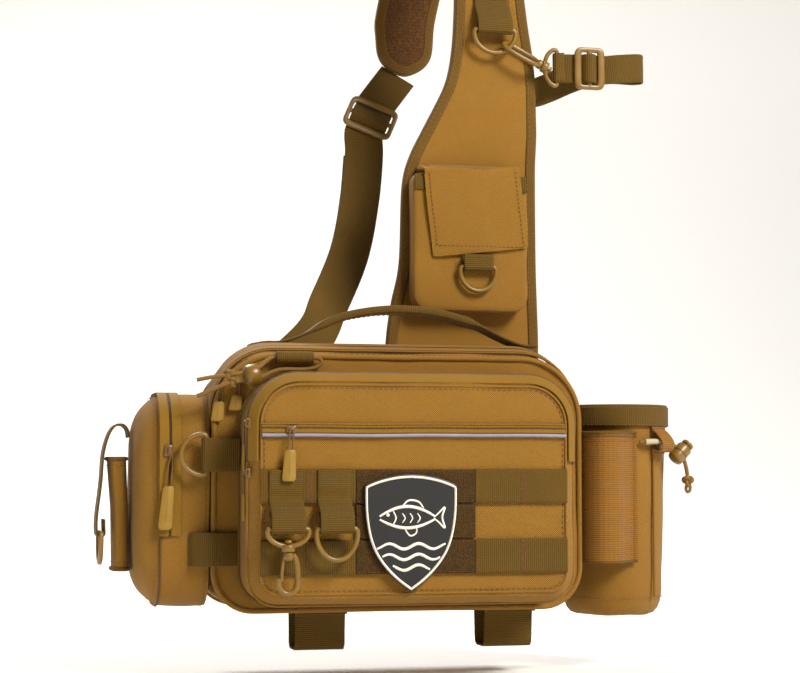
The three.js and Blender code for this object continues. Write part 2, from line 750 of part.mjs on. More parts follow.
// Webbing loops under the bag.
const loopShape = [
  { across: -0.78, drop: 0 },
  { across: -0.5, drop: 0.02 },
  { across: -0.46, drop: 0.82 },
  { across: -0.36, drop: 1 },
  { across: 0.36, drop: 1 },
  { across: 0.46, drop: 0.82 },
  { across: 0.5, drop: 0.02 },
  { across: 0.78, drop: 0 },
];
const loopSeat = -gap - webbing / 2;
[{ name: 'left', x: -58 }, { name: 'right', x: 85.5 }].forEach(({ name, x }) => {
  add(`bottom_loop_${name}`, bentStrip(loopShape.map(({ across, drop }) => vec(
    x,
    mainFront + 26 + across * bottomLoopDepth,
    loopSeat - drop * (bottomLoopDrop + loopSeat),
  )), right, strapWidth, webbing), 'webbing');
});

// Carry handle on the crown.
const handleShape = [
  { along: -0.5, rise: 0.01 },
  { along: -0.43, rise: 0.01 },
  { along: -0.35, rise: 0.2 },
  { along: -0.24, rise: 0.68 },
  { along: -0.12, rise: 0.93 },
  { along: 0, rise: 1 },
  { along: 0.13, rise: 0.9 },
  { along: 0.26, rise: 0.6 },
  { along: 0.37, rise: 0.17 },
  { along: 0.44, rise: 0.01 },
  { along: 0.5, rise: -0.06 },
];
const handleSeat = mainTop + gap + handleThickness / 2;
add('carry_handle', bentStrip(handleShape.map(({ along, rise }) => vec(
  along * handleSpan + 10,
  mainZipPlace + mainZipWidth / 2 + handleWidth / 2 + 2,
  handleSeat + rise * handleRise,
)), vec(0, 1, 0), handleWidth, handleThickness), 'webbing');

// Compression cord: a webbing sleeve at the seam, the cord's loop, and the toggle.
const sleeveRadius = 4.4;
const seamSleeve = { x: -80.5, y: mainFront - gap - sleeveRadius, z: 189, length: 27 };
const seamHollow = new THREE.CylinderGeometry(cordDiameter / 2 + 0.6, cordDiameter / 2 + 0.6, 60, 10);
add('compress_tab', turned(minus(
  new THREE.CylinderGeometry(sleeveRadius, sleeveRadius, seamSleeve.length, 12), seamHollow,
), right).translate(seamSleeve.x, seamSleeve.y, seamSleeve.z), 'webbing');
// The cord's route, chosen by hand: free end, toggle, under the sleeve, back through it, toggle, free end.
const compressRoute = [
  [-153, -62, 160], [-147, -62.4, 162.4], [-141, -62.6, 165], [-135, -62.8, 167.6], [-128, -62.8, 170],
  [-120, -62.6, 171.4], [-113, -62, 172.2], [-106, -60.4, 174], [-98, -58, 178], [-90, -56, 180.2],
  [-80, -54.6, 180.4], [-71, -53.6, 180.8], [-64, -53.4, 182.4], [-60.4, -53.8, 186], [-62.6, -54.4, 188.8],
  [-67, -54.7, 189], [-80.5, -54.7, 189], [-93, -54.7, 189], [-97.5, -55, 188.6], [-102, -56.6, 186],
  [-107, -60, 181.6], [-113, -62, 178.6], [-120, -62.6, 177], [-128, -62.8, 175.6], [-136, -62.8, 174.6],
  [-144, -62.6, 173.4], [-153, -62.2, 171.6],
].map((p) => vec(...p));
add('compress_cord', cordTube(compressRoute, cordDiameter, 64), 'cord');
const toggle = new THREE.SphereGeometry(8, 14, 10).scale(1.05, 0.9, 1).translate(-113, -62, 175.4);
const toggleBore = (z, tilt) =>
  peg(vec(-113, -62, z), vec(1, 0.17, tilt).normalize(), cordDiameter / 2 + 1.1, 40);
add('compress_toggle', minus(toggle, toggleBore(172.3, 0.18), toggleBore(178.8, 0.33)), 'plastic');

// Pulls of the main zip hang where its tape ends on the left, just below the pocket's top.
const mainPulls = [
  { name: 'left', x: 6, drop: 9, length: 25 },
  { name: 'right', x: 18.5, drop: 6, length: 20 },
];
mainPulls.forEach(({ name, x, drop, length }) => {
  const top = vec(x - mainSide, mainFront - 2.2, pocketTop - drop);
  add(`main_pull_${name}`, zipPull(top, vec(-0.12, 0, -1), right, length), 'tape');
});

// Shoulder pad. Stations run up the front, over the shoulder and down to the rounded tail.
// rise is a share of the front run, width a share of the base width, shift a share of the neck width.
const frontStations = [
  { rise: 0, width: 0.98, shift: -0.43 },
  { rise: 0.12, width: 1, shift: -0.43 },
  { rise: 0.22, width: 0.96, shift: -0.4 },
  { rise: 0.32, width: 0.9, shift: -0.35 },
  { rise: 0.5, width: 0.88, shift: -0.33 },
  { rise: 0.57, width: 0.84, shift: -0.28 },
  { rise: 0.64, width: 0.76, shift: -0.17 },
  { rise: 0.7, width: 0.675, shift: -0.08 },
  { rise: 0.76, width: 0.6, shift: 0 },
  { rise: 0.83, width: 0.545, shift: 0.03 },
  { rise: 0.91, width: 0.495, shift: 0.02 },
  { rise: 1, width: 0.46, shift: 0 },
];
const padNeck = 100;
const padTailPlace = 61;
const padSeat = mainBack + gap + padThickness / 2;
const padLean = 8;
const archSteps = 14;
const tailStations = [
  { fall: 0.25, width: 0.89 },
  { fall: 0.5, width: 0.87 },
  { fall: 0.72, width: 0.8 },
  { fall: 0.88, width: 0.6 },
  { fall: 1, width: 0.28 },
];
const archFoot = padFoot + padRunHeight;
const padStations = [
  ...frontStations.map(({ rise, width, shift }) => ({
    at: vec(padNeck + shift * padNeckWidth, padSeat + padLean * rise ** 3, padFoot + rise * padRunHeight),
    width: width * padBaseWidth,
  })),
  ...Array.from({ length: archSteps }, (_, i) => {
    const turn = Math.PI * (i + 1) / archSteps;
    const share = (i + 1) / archSteps;
    return {
      at: vec(
        padNeck + (padTailPlace - padNeck) * share,
        padSeat + padLean + padArchDepth * (1 - Math.cos(turn)) / 2,
        archFoot + padArchRise * Math.sin(turn),
      ),
      width: padNeckWidth * (1 - 0.08 * share),
    };
  }),
  ...tailStations.map(({ fall, width }) => ({
    at: vec(padTailPlace, padSeat + padLean + padArchDepth, archFoot - fall * padTail),
    width: padNeckWidth * width,
  })),
];
const padTangents = tangentsOf(padStations.map(({ at }) => at));
padStations.forEach((station, i) => {
  const flat = vec(0, padTangents[i].y, padTangents[i].z).normalize();
  station.normal = right.clone().cross(flat).normalize();
  station.side = right;
});

// Points off the pad's middle surface: across from its centre and out from its face.
function offPad(station, across, off) {
  return station.at.clone().addScaledVector(station.side, across).addScaledVector(station.normal, off);
}

const padFace = padThickness / 2;
// How far the cloth stands in from the pad's edge, where that edge slants.
function edgeInset(i) {
  const slants = [i - 1, i + 1].filter((k) => padStations[k]).flatMap((k) => {
    const [a, b] = [padStations[i], padStations[k]];
    const run = a.at.distanceTo(b.at);
    return [-1, 1].map((sign) => Math.hypot(1, (a.at.x - b.at.x + sign * (a.width - b.width) / 2) / run));
  });
  return bindingWidth / 2 + (bindingWidth / 2 + gap) * Math.max(...slants);
}

add('shoulder_pad', loft(padStations.map((station, i) => {
  const last = i === padStations.length - 1;
  const shift = i === 0 || last ? bindingWidth : 0;
  const half = station.width / 2 - edgeInset(i);
  const soft = padFace * 0.66;
  const edge = half - 2;
  return [[-half, -soft], [-edge, -padFace], [edge, -padFace], [half, -soft],
    [half, soft], [edge, padFace], [-edge, padFace], [-half, soft]]
    .map(([a, o]) => offPad(station, a, o).add(vec(0, 0, shift)));
})), 'cloth');

// Binding tape round the whole edge of the pad.
const bindingHalf = padFace * 0.8;
const bindingEdge = (sign) => padStations.map((station) => ({
  station,
  across: sign * (station.width / 2 - bindingWidth / 2),
}));
const padEnd = padStations[padStations.length - 1];
const padStart = padStations[0];
const beyond = (station, share) => ({
  ...station,
  at: station.at.clone().addScaledVector(up, share * (bindingWidth / 2 + gap)),
});
const padEdge = [
  ...bindingEdge(-1),
  { station: beyond(padEnd, -1), across: -padEnd.width * 0.32 },
  { station: beyond(padEnd, -1), across: padEnd.width * 0.32 },
  ...bindingEdge(1).reverse(),
  { station: beyond(padStart, -1), across: padStart.width / 2 - 2 * bindingWidth },
  { station: beyond(padStart, -1), across: 2 * bindingWidth - padStart.width / 2 },
];
const edgePoints = padEdge.map(({ station, across }) => offPad(station, across, 0));
add('pad_binding', strip(edgePoints, tangentsOf(edgePoints, true).map((t, i) =>
  t.clone().cross(padEdge[i].station.normal).normalize()), 2 * bindingHalf, bindingWidth, true), 'tape');

// Phone pouch on the front of the pad, with its flap, tab and D-ring.
const phoneBack = padSeat - padFace - gap;
const phoneFront = phoneBack - phoneDepth;
const phonePlace = 77;
const phoneTop = phoneFoot + phoneHeight;
const phoneSkin = (inset, rise) => box(
  phonePlace - phoneWidth / 2 + inset,
  phonePlace + phoneWidth / 2 - inset,
  phoneFront + inset,
  phoneBack - inset,
  phoneFoot + inset,
  phoneTop + rise,
);
add('phone_pouch', minus(phoneSkin(0, 0), phoneSkin(clothWall, 5)), 'cloth');
const flapSeat = phoneFront - gap - clothWall / 2;
const flapShape = [
  { back: 1, rise: 7.5 },
  { back: 0.8, rise: 6.5 },
  { back: 0.4, rise: 4.5 },
  { back: 0.12, rise: 3.4 },
  { back: -0.03, rise: 0.6 },
];
const flapBack = phoneBack - clothWall / 2;
add('phone_flap', bentStrip([
  ...flapShape.map(({ back, rise }) =>
    vec(phonePlace + 3, flapSeat + back * (flapBack - flapSeat), phoneTop + rise)),
  vec(phonePlace + 3, flapSeat - 1, phoneTop - flapHeight * 0.5),
  vec(phonePlace + 3, flapSeat, phoneTop + 4 - flapHeight),
], right, phoneWidth - 2, clothWall), 'cloth');
const phoneBar = vec(phonePlace + 4.5, phoneFront - gap - webbing / 2 - foldRadius, phoneFoot + 36);
add('phone_ring_tab', bentStrip([
  vec(phoneBar.x, phoneBar.y - foldRadius, phoneBar.z + 10),
  ...fold(phoneBar, down, out),
  vec(phoneBar.x, phoneBar.y + foldRadius, phoneBar.z + 10),
], right, rowHeight, webbing), 'webbing');
add('phone_d_ring', dRing(phoneBar, right, down, 19), 'plastic');

// Ring tab high on the pad, its D-ring, and the clip fastened to it.
const highTabFace = padSeat + padLean * 0.68 - padFace - gap - 2 * webbing;
const highBar = vec(padNeck + 1, highTabFace - foldRadius - 2.4, 464);
const highFace = (z) => {
  const rise = (z - padFoot) / padRunHeight;
  return padSeat + padLean * rise ** 3 - padFace - gap - webbing / 2;
};
add('strap_ring_tab', bentStrip([
  vec(highBar.x, highFace(498) - 0.4, 498),
  vec(highBar.x, highFace(486) - 0.6, 486),
  vec(highBar.x, highBar.y - foldRadius + 1.2, highBar.z + 8),
  ...fold(highBar, down, out),
  vec(highBar.x, highBar.y + foldRadius, highBar.z + 9),
], right, rowHeight + 5, webbing), 'webbing');
const highDrop = 19;
const highHalf = 17.5;
add('strap_d_ring', dRing(highBar, right, down, highDrop, highHalf), 'plastic');

// The clip's long loop holds the lower right of the D-ring. Its eye holds the rod loop.
const clipDirection = vec(0.885, -0.06, -0.465).normalize();
const clipNormal = clipDirection.clone().cross(vec(0, 1, 0)).normalize();
const clipAcross = vec(0, 1, 0).multiplyScalar(0.8).addScaledVector(clipNormal, 0.6).normalize();
const clipReach = 33;
const clipHalf = 6.6;
const ringPoint = highBar.clone()
  .addScaledVector(right, Math.cos(-Math.PI / 4) * highHalf)
  .addScaledVector(down, (0.12 + 0.88 * Math.sin(Math.PI / 4)) * highDrop);
const clipStart = ringPoint.clone().addScaledVector(clipDirection, -(ringWire + clipWire) / 2 - 2);
const clipLine = Array.from({ length: 16 }, (_, i) => {
  const turn = Math.PI * 2 * (i + 0.5) / 16;
  const bow = Math.sign(Math.cos(turn)) * Math.abs(Math.cos(turn)) ** 0.7;
  return clipStart.clone()
    .addScaledVector(clipDirection, (1 + bow) * clipReach / 2)
    .addScaledVector(clipAcross, Math.sin(turn) * clipHalf);
});
const clipFoot = clipStart.clone().addScaledVector(clipDirection, clipReach);
const clipPin = peg(clipFoot.clone().addScaledVector(clipDirection, 4), clipDirection, pinRadius, 12);
const clipPoint = (along) => clipFoot.clone().addScaledVector(clipDirection, along);
const clipHead = peg(clipPoint(10.4), clipDirection, pinRadius + 1.2, 2);
const clipShank = peg(clipPoint(0.4), clipDirection, collarRadius - 0.8, 4);
add('strap_clip', joined(wire(clipLine, clipWire, clipDirection.clone().cross(clipAcross), 6, true),
  clipShank, clipPin, clipHead), 'plastic');
const eyeCollar = clipFoot.clone().addScaledVector(clipDirection, 3 + collarHeight / 2);
const clipEyeDrop = 10.5;
const clipEyeBar = eyeCollar.clone().addScaledVector(right, clipEyeDrop);
add('clip_eye', minus(
  joined(
    dRing(clipEyeBar, up, left, clipEyeDrop, ringHalf),
    peg(eyeCollar, clipDirection, collarRadius, collarHeight),
  ),
  peg(eyeCollar, clipDirection, pinRadius + gap, collarHeight * 3),
), 'plastic');

// Rod loop: webbing from the edge of the pad, round and back through its slider to the clip's eye.
const rodLoop = [
  { x: 127, y: 0, z: -20 },
  { x: 139, y: 0, z: -18 },
  { x: 150, y: -0.5, z: -14 },
  { x: 175, y: -2, z: -3 },
  { x: 200, y: -4, z: 3 },
  { x: 222, y: -5.5, z: 3 },
  { x: 228, y: -9, z: 3 },
  { x: 228.5, y: -14, z: 3 },
  { x: 223, y: -17.5, z: 3 },
  { x: 205, y: -19.5, z: 1 },
];
const sliderDepth = 3;
const sliderBar = 4;
const weave = (sliderDepth + webbing) / 2 + gap;
const loopBack = padSeat + padLean * 0.55 + padFace + gap + webbing / 2;
const rodSlider = vec(180.5, loopBack - 20.5, clipEyeBar.z + 0.4);
const slideHalf = 12;
// Webbing through a slider goes behind its outer bars and over its middle one.
function weavePath(centre, along, face, half) {
  const slot = half - sliderBar - 0.6;
  return [
    { along: -half - 2, off: 1 },
    { along: -slot, off: 1 },
    { along: -sliderBar / 2 - 0.7, off: -1 },
    { along: sliderBar / 2 + 0.7, off: -1 },
    { along: slot, off: 1 },
    { along: half + 2, off: 1 },
  ].map((row) => centre.clone().addScaledVector(along, row.along).addScaledVector(face, row.off * weave));
}
const rodWeave = weavePath(rodSlider, left, vec(0, 1, 0), slideHalf);
add('rod_loop_strap', bentStrip([
  ...rodLoop.map(({ x, y, z }) => vec(x, loopBack + y, rodSlider.z + z)),
  ...rodWeave,
  ...arc(clipEyeBar, foldRadius, Math.PI / 2, 1.5 * Math.PI, 4, vec(1, 0, 0), vec(0, 1, 0)),
  vec(clipEyeBar.x + 6, clipEyeBar.y - foldRadius, rodSlider.z),
], up, rowHeight - 1, webbing), 'webbing');

// Sliders: a frame with two slots. They are drawn flat and turned into place.
function slider(centre, along, across, width, length) {
  const half = { a: width / 2, l: length / 2 };
  const frame = new THREE.BoxGeometry(width, length, sliderDepth);
  const slotLength = length / 2 - 1.5 * sliderBar;
  const slots = [-1, 1].map((sign) => new THREE.BoxGeometry(width - 2 * sliderBar, slotLength, sliderDepth * 3)
    .translate(0, sign * (sliderBar / 2 + slotLength / 2), 0));
  const face = across.clone().cross(along).normalize();
  const turn = new THREE.Matrix4().makeBasis(across, along, face).setPosition(centre);
  return minus(frame, ...slots).applyMatrix4(turn);
}

const rodSliderWidth = rowHeight + 2 * sliderBar + 2;
const rodFrame = slider(rodSlider, vec(1, 0, 0), vec(0, 0, -1), rodSliderWidth, 2 * slideHalf);
add('rod_loop_slider', rodFrame, 'plastic');

// Strap webbing: from the pad's tail through the slider, down to the end ring and back up behind.
const tailPoint = vec(padTailPlace, padSeat + padLean + padArchDepth, archFoot - padTail);
const endTabFoot = vec(-mainSide + 18, mainBack + gap + webbing / 2, mainHeight - 46);
const strapPull = vec(0.72, 0.3, 0.62).normalize();
const endTabLength = 20;
const endRingSpan = 13;
const lowBar = endTabFoot.clone().addScaledVector(strapPull, endTabLength);
const highEndBar = lowBar.clone().addScaledVector(strapPull, endRingSpan);
const strapWay = tailPoint.clone().sub(highEndBar);
const strapReach = strapWay.length();
// The free run, as shares of the way from the end ring to the pad's tail: how far up it,
// how far to the right of it and how far behind it.
const strapRun = [
  { share: 0.16, across: 0.082, sag: 0 },
  { share: 0.27, across: 0.086, sag: 0.012 },
  { share: 0.42, across: 0.08, sag: 0.022 },
  { share: 0.58, across: 0.047, sag: 0.028 },
  { share: 0.72, across: 0.005, sag: 0.022 },
];
const sliderShare = { share: 0.84, across: -0.026, sag: 0.004 };
const runPoint = ({ share, across, sag }, lift) => highEndBar.clone()
  .addScaledVector(strapWay, share)
  .add(vec(across * strapReach, sag * strapReach + lift, -lift * 0.3));
const strapFold = clipWire / 2 + gap + webbing / 2;
const strapSide = vec(strapPull.z, 0, -strapPull.x).normalize();
const slideCentre = runPoint(sliderShare, 0);
const strapEnd = tailPoint.clone().add(vec(-bindingWidth * 2, 0, -bindingWidth - 3 * gap - 1));
const slideAlong = strapEnd.clone().sub(runPoint(strapRun[4], 0)).normalize();
const slideAcross = right.clone().addScaledVector(slideAlong, -slideAlong.x).normalize();
const slideFace = slideAcross.clone().cross(slideAlong).normalize();
const strapSliderHalf = 15.5;
const strapWeave = weavePath(slideCentre, slideAlong, slideFace.clone().negate(), strapSliderHalf);

// The webbing turns from the slant of the end ring to lying square at the pad's tail.
const ringFace = strapSide.clone().cross(strapPull).normalize();
const upRun = strapRun.map((row) => runPoint(row, 0));
const backRun = strapRun.map((row) => runPoint(row, 2 * strapFold));
const ringTurn = arc(highEndBar, strapFold, Math.PI, 0, 4, ringFace, strapPull.clone().negate());
const strapPoints = [
  ...[...backRun].reverse(),
  ...ringTurn,
  ...upRun,
  ...strapWeave,
  strapEnd,
];
const strapSides = strapPoints.map((p) => {
  if (p === strapEnd) return right;
  const share = THREE.MathUtils.clamp((p.z - highEndBar.z) / (slideCentre.z - 20 - highEndBar.z), 0, 1);
  return strapSide.clone().lerp(slideAcross, share).normalize();
});
add('strap_webbing', ribbon(strapPoints, strapSides, strapWidth - 4, webbing), 'webbing');
const strapSliderWidth = strapWidth + 6;
const strapFrame = slider(slideCentre, slideAlong, slideAcross, strapSliderWidth, 2 * strapSliderHalf);
add('strap_slider', strapFrame, 'plastic');

// The end ring is a rectangle of wire, held by a tab sewn to the back of the bag.
const ringCorner = (bar, sign) => bar.clone().addScaledVector(strapSide, sign * (strapWidth / 2 + 3));
const ringSides = [
  [lowBar, -1], [lowBar, 1], [highEndBar, 1], [highEndBar, -1],
].map(([bar, sign]) => ringCorner(bar, sign));
const ringLoop = ringSides.flatMap((corner, i) => {
  const next = ringSides[(i + 1) % 4];
  return [0.08, 0.92].map((share) => corner.clone().lerp(next, share));
});
add('strap_end_ring', wire(ringLoop, clipWire, ringFace, 6, true), 'plastic');
const tabTurnPoints = arc(lowBar, strapFold, 0, Math.PI, 4, ringFace, strapPull);
add('strap_end_tab', bentStrip([
  endTabFoot.clone().addScaledVector(strapPull, -14).setY(endTabFoot.y),
  endTabFoot.clone().addScaledVector(strapPull, -2).setY(endTabFoot.y),
  ...tabTurnPoints,
  lowBar.clone().addScaledVector(ringFace, -strapFold).addScaledVector(strapPull, -9),
], strapSide, strapWidth - 4, webbing), 'webbing');

// The origin is the shoulder rest, under the strap at the top of its arch.
const crest = padStations.reduce((best, station) => (station.at.z > best.at.z ? station : best));
bag.position.set(-crest.at.x, -crest.at.y, padFace - crest.at.z);

export default bag;
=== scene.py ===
"""Fishing tackle sling bag: its cloth, webbing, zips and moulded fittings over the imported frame."""

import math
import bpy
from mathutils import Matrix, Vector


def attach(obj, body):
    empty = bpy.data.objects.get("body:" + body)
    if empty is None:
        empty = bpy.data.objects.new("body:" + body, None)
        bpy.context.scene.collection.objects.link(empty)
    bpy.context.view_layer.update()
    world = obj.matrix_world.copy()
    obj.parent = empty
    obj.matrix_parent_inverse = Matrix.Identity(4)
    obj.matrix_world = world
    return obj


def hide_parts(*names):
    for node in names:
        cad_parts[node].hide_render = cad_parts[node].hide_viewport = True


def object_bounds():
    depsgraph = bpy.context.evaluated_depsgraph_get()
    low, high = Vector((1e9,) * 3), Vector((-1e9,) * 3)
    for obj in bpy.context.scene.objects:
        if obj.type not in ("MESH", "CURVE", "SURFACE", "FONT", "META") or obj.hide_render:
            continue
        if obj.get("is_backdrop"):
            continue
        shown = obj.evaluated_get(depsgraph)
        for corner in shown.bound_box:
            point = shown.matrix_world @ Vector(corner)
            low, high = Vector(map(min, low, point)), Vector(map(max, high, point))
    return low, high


bl_info = {
    "name": "Fishing Tackle Sling Bag",
    "version": (1, 0, 0),
    "blender": (4, 5, 0),
    "location": "View3D > Sidebar > Sling Bag",
    "description": "Builds a sling bag of oxford cloth with its webbing, zips, rings and padded strap",
    "category": "Object",
}

import bpy
import numpy as np
from bpy.props import FloatProperty, PointerProperty
from mathutils import Vector

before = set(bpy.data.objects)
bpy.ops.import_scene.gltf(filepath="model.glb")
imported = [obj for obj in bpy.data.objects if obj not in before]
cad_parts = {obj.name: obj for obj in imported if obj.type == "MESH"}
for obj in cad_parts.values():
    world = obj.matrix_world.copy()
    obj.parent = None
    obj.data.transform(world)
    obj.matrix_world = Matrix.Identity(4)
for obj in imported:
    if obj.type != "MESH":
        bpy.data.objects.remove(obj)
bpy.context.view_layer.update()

# Lengths below are in millimetres from the middle of the bag's bottom, +Z up and -Y to the front.
# The row frame starts at the shoulder rest, which stands here in those lengths.
SHOULDER_REST = np.array([80.5, 131.3, 570.5])

# The sizes that the frame's solids share with these pieces.
GAP = 0.3
MAIN_FOOT, MAIN_MIDDLE = 4.0, 92.0
MAIN_HALF, MAIN_TOP, MAIN_CROWN, MAIN_BACK = 140.0, 191.0, 11.0, 50.0
POCKET_HALF, POCKET_FOOT, POCKET_TOP, POCKET_MIDDLE = 120.5, 11.0, 176.0, 93.0
POUCH_HALF, POUCH_FOOT, POUCH_HEIGHT = 46.0, 7.0, 156.0
BOTTLE_X, BOTTLE_RADIUS, HEM_RADIUS = 183.2, 41.0, 42.1
SHEATH_FOOT, SHEATH_HEIGHT = 34, 82
TAB_WIDTH, FOLD_RADIUS, RING_WIRE, RING_HALF = 24.4, 2.8, 1.85, 14.8
RIGHT, BACK, UP = np.eye(3)
ROWS_TOP, ROW = 108.0, 25.0

# The camera: the picture's width and its focal length, both in pixels, and the sensor's width.
PICTURE_WIDTH, FOCAL_PIXELS, SENSOR = 800, 1950, 36


# Colours and materials

def linear(code):
    """Turns an sRGB hex value such as 'A87B3A' into linear red, green, blue and full alpha."""
    channels = np.array([int(code[i:i + 2], 16) for i in (0, 2, 4)]) / 255.0
    low = channels / 12.92
    high = ((channels + 0.055) / 1.055) ** 2.4
    return (*np.where(channels <= 0.04045, low, high).tolist(), 1.0)


def add_node(tree, kind, settings=(), values=(), links=()):
    """Adds one node. Settings are its attributes, values its inputs' numbers, links its inputs' sources."""
    node = tree.nodes.new(kind)
    for name, value in dict(settings).items():
        setattr(node, name, value)
    for name, value in dict(values).items():
        node.inputs[name].default_value = value
    for name, source in dict(links).items():
        tree.links.new(source, node.inputs[name])
    return node


def new_material(name):
    """An empty node material, ready for a shader and its output."""
    material = bpy.data.materials.new(name)
    material.use_nodes = True
    material.node_tree.nodes.clear()
    return material, material.node_tree


def threads(tree, source, pitch, direction):
    """Bands across one UV direction, one for each thread pitch in millimetres."""
    return add_node(
        tree, "ShaderNodeTexWave",
        {"wave_type": "BANDS", "bands_direction": direction, "wave_profile": "SIN"},
        {"Scale": 0.31416 / pitch, "Distortion": 0.25, "Detail": 1.0, "Detail Scale": 0.6},
        {"Vector": source},
    ).outputs["Fac"]


def combine(tree, operation, first, second):
    """One sum, product or other reckoning of two values, either of them a socket or a number."""
    node = add_node(tree, "ShaderNodeMath", {"operation": operation})
    for place, value in enumerate((first, second)):
        if isinstance(value, (int, float)):
            node.inputs[place].default_value = value
        else:
            tree.links.new(value, node.inputs[place])
    return node.outputs[0]


def straight_grain(tree):
    """Places on the cloth in millimetres, read across whichever axis the surface faces."""
    source = add_node(tree, "ShaderNodeTexCoord")
    place = add_node(tree, "ShaderNodeSeparateXYZ", {}, {}, {"Vector": source.outputs["Object"]}).outputs
    facing = add_node(tree, "ShaderNodeSeparateXYZ", {}, {}, {"Vector": source.outputs["Normal"]}).outputs
    aside = combine(tree, "GREATER_THAN", combine(tree, "ABSOLUTE", facing[0], 0.0), 0.7)
    level = combine(tree, "GREATER_THAN", combine(tree, "ABSOLUTE", facing[2], 0.0), 0.7)
    first = add_node(tree, "ShaderNodeMix", {}, {}, {0: aside, 2: place[0], 3: place[1]}).outputs[0]
    second = add_node(tree, "ShaderNodeMix", {}, {}, {0: level, 2: place[2], 3: place[1]}).outputs[0]
    joined = add_node(tree, "ShaderNodeCombineXYZ", {}, {}, {"X": first, "Y": second}).outputs[0]
    return add_node(tree, "ShaderNodeVectorMath", {"operation": "SCALE"}, {"Scale": 1000.0},
                    {0: joined}).outputs[0]


def woven(name, lit, deep, pitch, weave, depth, rough=0.85, sheen=0.25, worn="C49A5C",
          wear=0.25, weft=None):
    """A woven cloth. Oxford crosses two thread waves, rib keeps the one along V, twill slants them."""
    material, tree = new_material(name)
    place = add_node(tree, "ShaderNodeUVMap").outputs["UV"]
    body = add_node(tree, "ShaderNodeTexCoord").outputs["Object"]
    if weave == "oxford":
        place = straight_grain(tree)
    if weave == "twill":
        place = add_node(tree, "ShaderNodeMapping", {}, {"Rotation": (0, 0, 0.7)},
                         {"Vector": place}).outputs[0]
    across = threads(tree, place, pitch, "X")
    along = threads(tree, place, weft or pitch, "Y")
    if weave == "rib":
        pattern = combine(tree, "ADD", combine(tree, "MULTIPLY", along, 0.8),
                          combine(tree, "MULTIPLY", across, 0.2))
    else:
        odd = combine(tree, "SUBTRACT", across, 0.5)
        even = combine(tree, "SUBTRACT", along, 0.5)
        pattern = combine(tree, "MULTIPLY_ADD", combine(tree, "MULTIPLY", odd, even), 2.0)
        pattern.node.inputs[2].default_value = 0.5
    cloud = add_node(tree, "ShaderNodeTexNoise", {}, {"Scale": 22.0, "Detail": 4.0, "Roughness": 0.6},
                     {"Vector": body}).outputs["Fac"]
    speck = add_node(tree, "ShaderNodeTexNoise", {}, {"Scale": 0.9, "Detail": 2.0},
                     {"Vector": place}).outputs["Fac"]
    shade = add_node(tree, "ShaderNodeMix", {"data_type": "RGBA"}, {6: linear(deep), 7: linear(lit)},
                     {0: combine(tree, "ADD", combine(tree, "MULTIPLY", pattern, 0.6),
                                 combine(tree, "MULTIPLY", speck, 0.55))}).outputs[2]
    fade = add_node(tree, "ShaderNodeMapRange", {}, {"From Min": 0.48, "From Max": 0.8, "To Max": wear},
                    {"Value": cloud}).outputs[0]
    colour = add_node(tree, "ShaderNodeMix", {"data_type": "RGBA"}, {7: linear(worn)},
                      {0: fade, 6: shade}).outputs[2]
    height = combine(tree, "ADD", pattern, combine(tree, "MULTIPLY", speck, 0.35))
    bump = add_node(tree, "ShaderNodeBump", {}, {"Strength": 0.9, "Distance": depth / 1000.0},
                    {"Height": height})
    shader = add_node(tree, "ShaderNodeBsdfPrincipled", {},
                      {"Roughness": rough, "Sheen Weight": sheen, "Sheen Roughness": 0.45,
                       "Specular IOR Level": 0.22},
                      {"Base Color": colour, "Normal": bump.outputs[0]})
    add_node(tree, "ShaderNodeOutputMaterial", {}, {}, {"Surface": shader.outputs[0]})
    return material


def moulded(name, lit, deep, rough, grain, depth, coat=0.0, ior=1.48):
    """A moulded plastic or rubber: nearly one colour, clouded a little, with a fine moulded grain."""
    material, tree = new_material(name)
    body = add_node(tree, "ShaderNodeTexCoord").outputs["Object"]
    cloud = add_node(tree, "ShaderNodeTexNoise", {}, {"Scale": 90.0, "Detail": 3.0},
                     {"Vector": body}).outputs["Fac"]
    pits = add_node(tree, "ShaderNodeTexNoise", {}, {"Scale": 1000.0 / grain, "Detail": 2.0},
                    {"Vector": body}).outputs["Fac"]
    colour = add_node(tree, "ShaderNodeMix", {"data_type": "RGBA"}, {6: linear(deep), 7: linear(lit)},
                      {0: cloud}).outputs[2]
    bump = add_node(tree, "ShaderNodeBump", {}, {"Strength": 0.5, "Distance": depth / 1000.0},
                    {"Height": pits})
    gloss = add_node(tree, "ShaderNodeMapRange", {}, {"To Min": rough - 0.07, "To Max": rough + 0.07},
                     {"Value": pits}).outputs[0]
    shader = add_node(tree, "ShaderNodeBsdfPrincipled", {}, {"IOR": ior, "Coat Weight": coat},
                      {"Base Color": colour, "Normal": bump.outputs[0], "Roughness": gloss})
    add_node(tree, "ShaderNodeOutputMaterial", {}, {}, {"Surface": shader.outputs[0]})
    return material


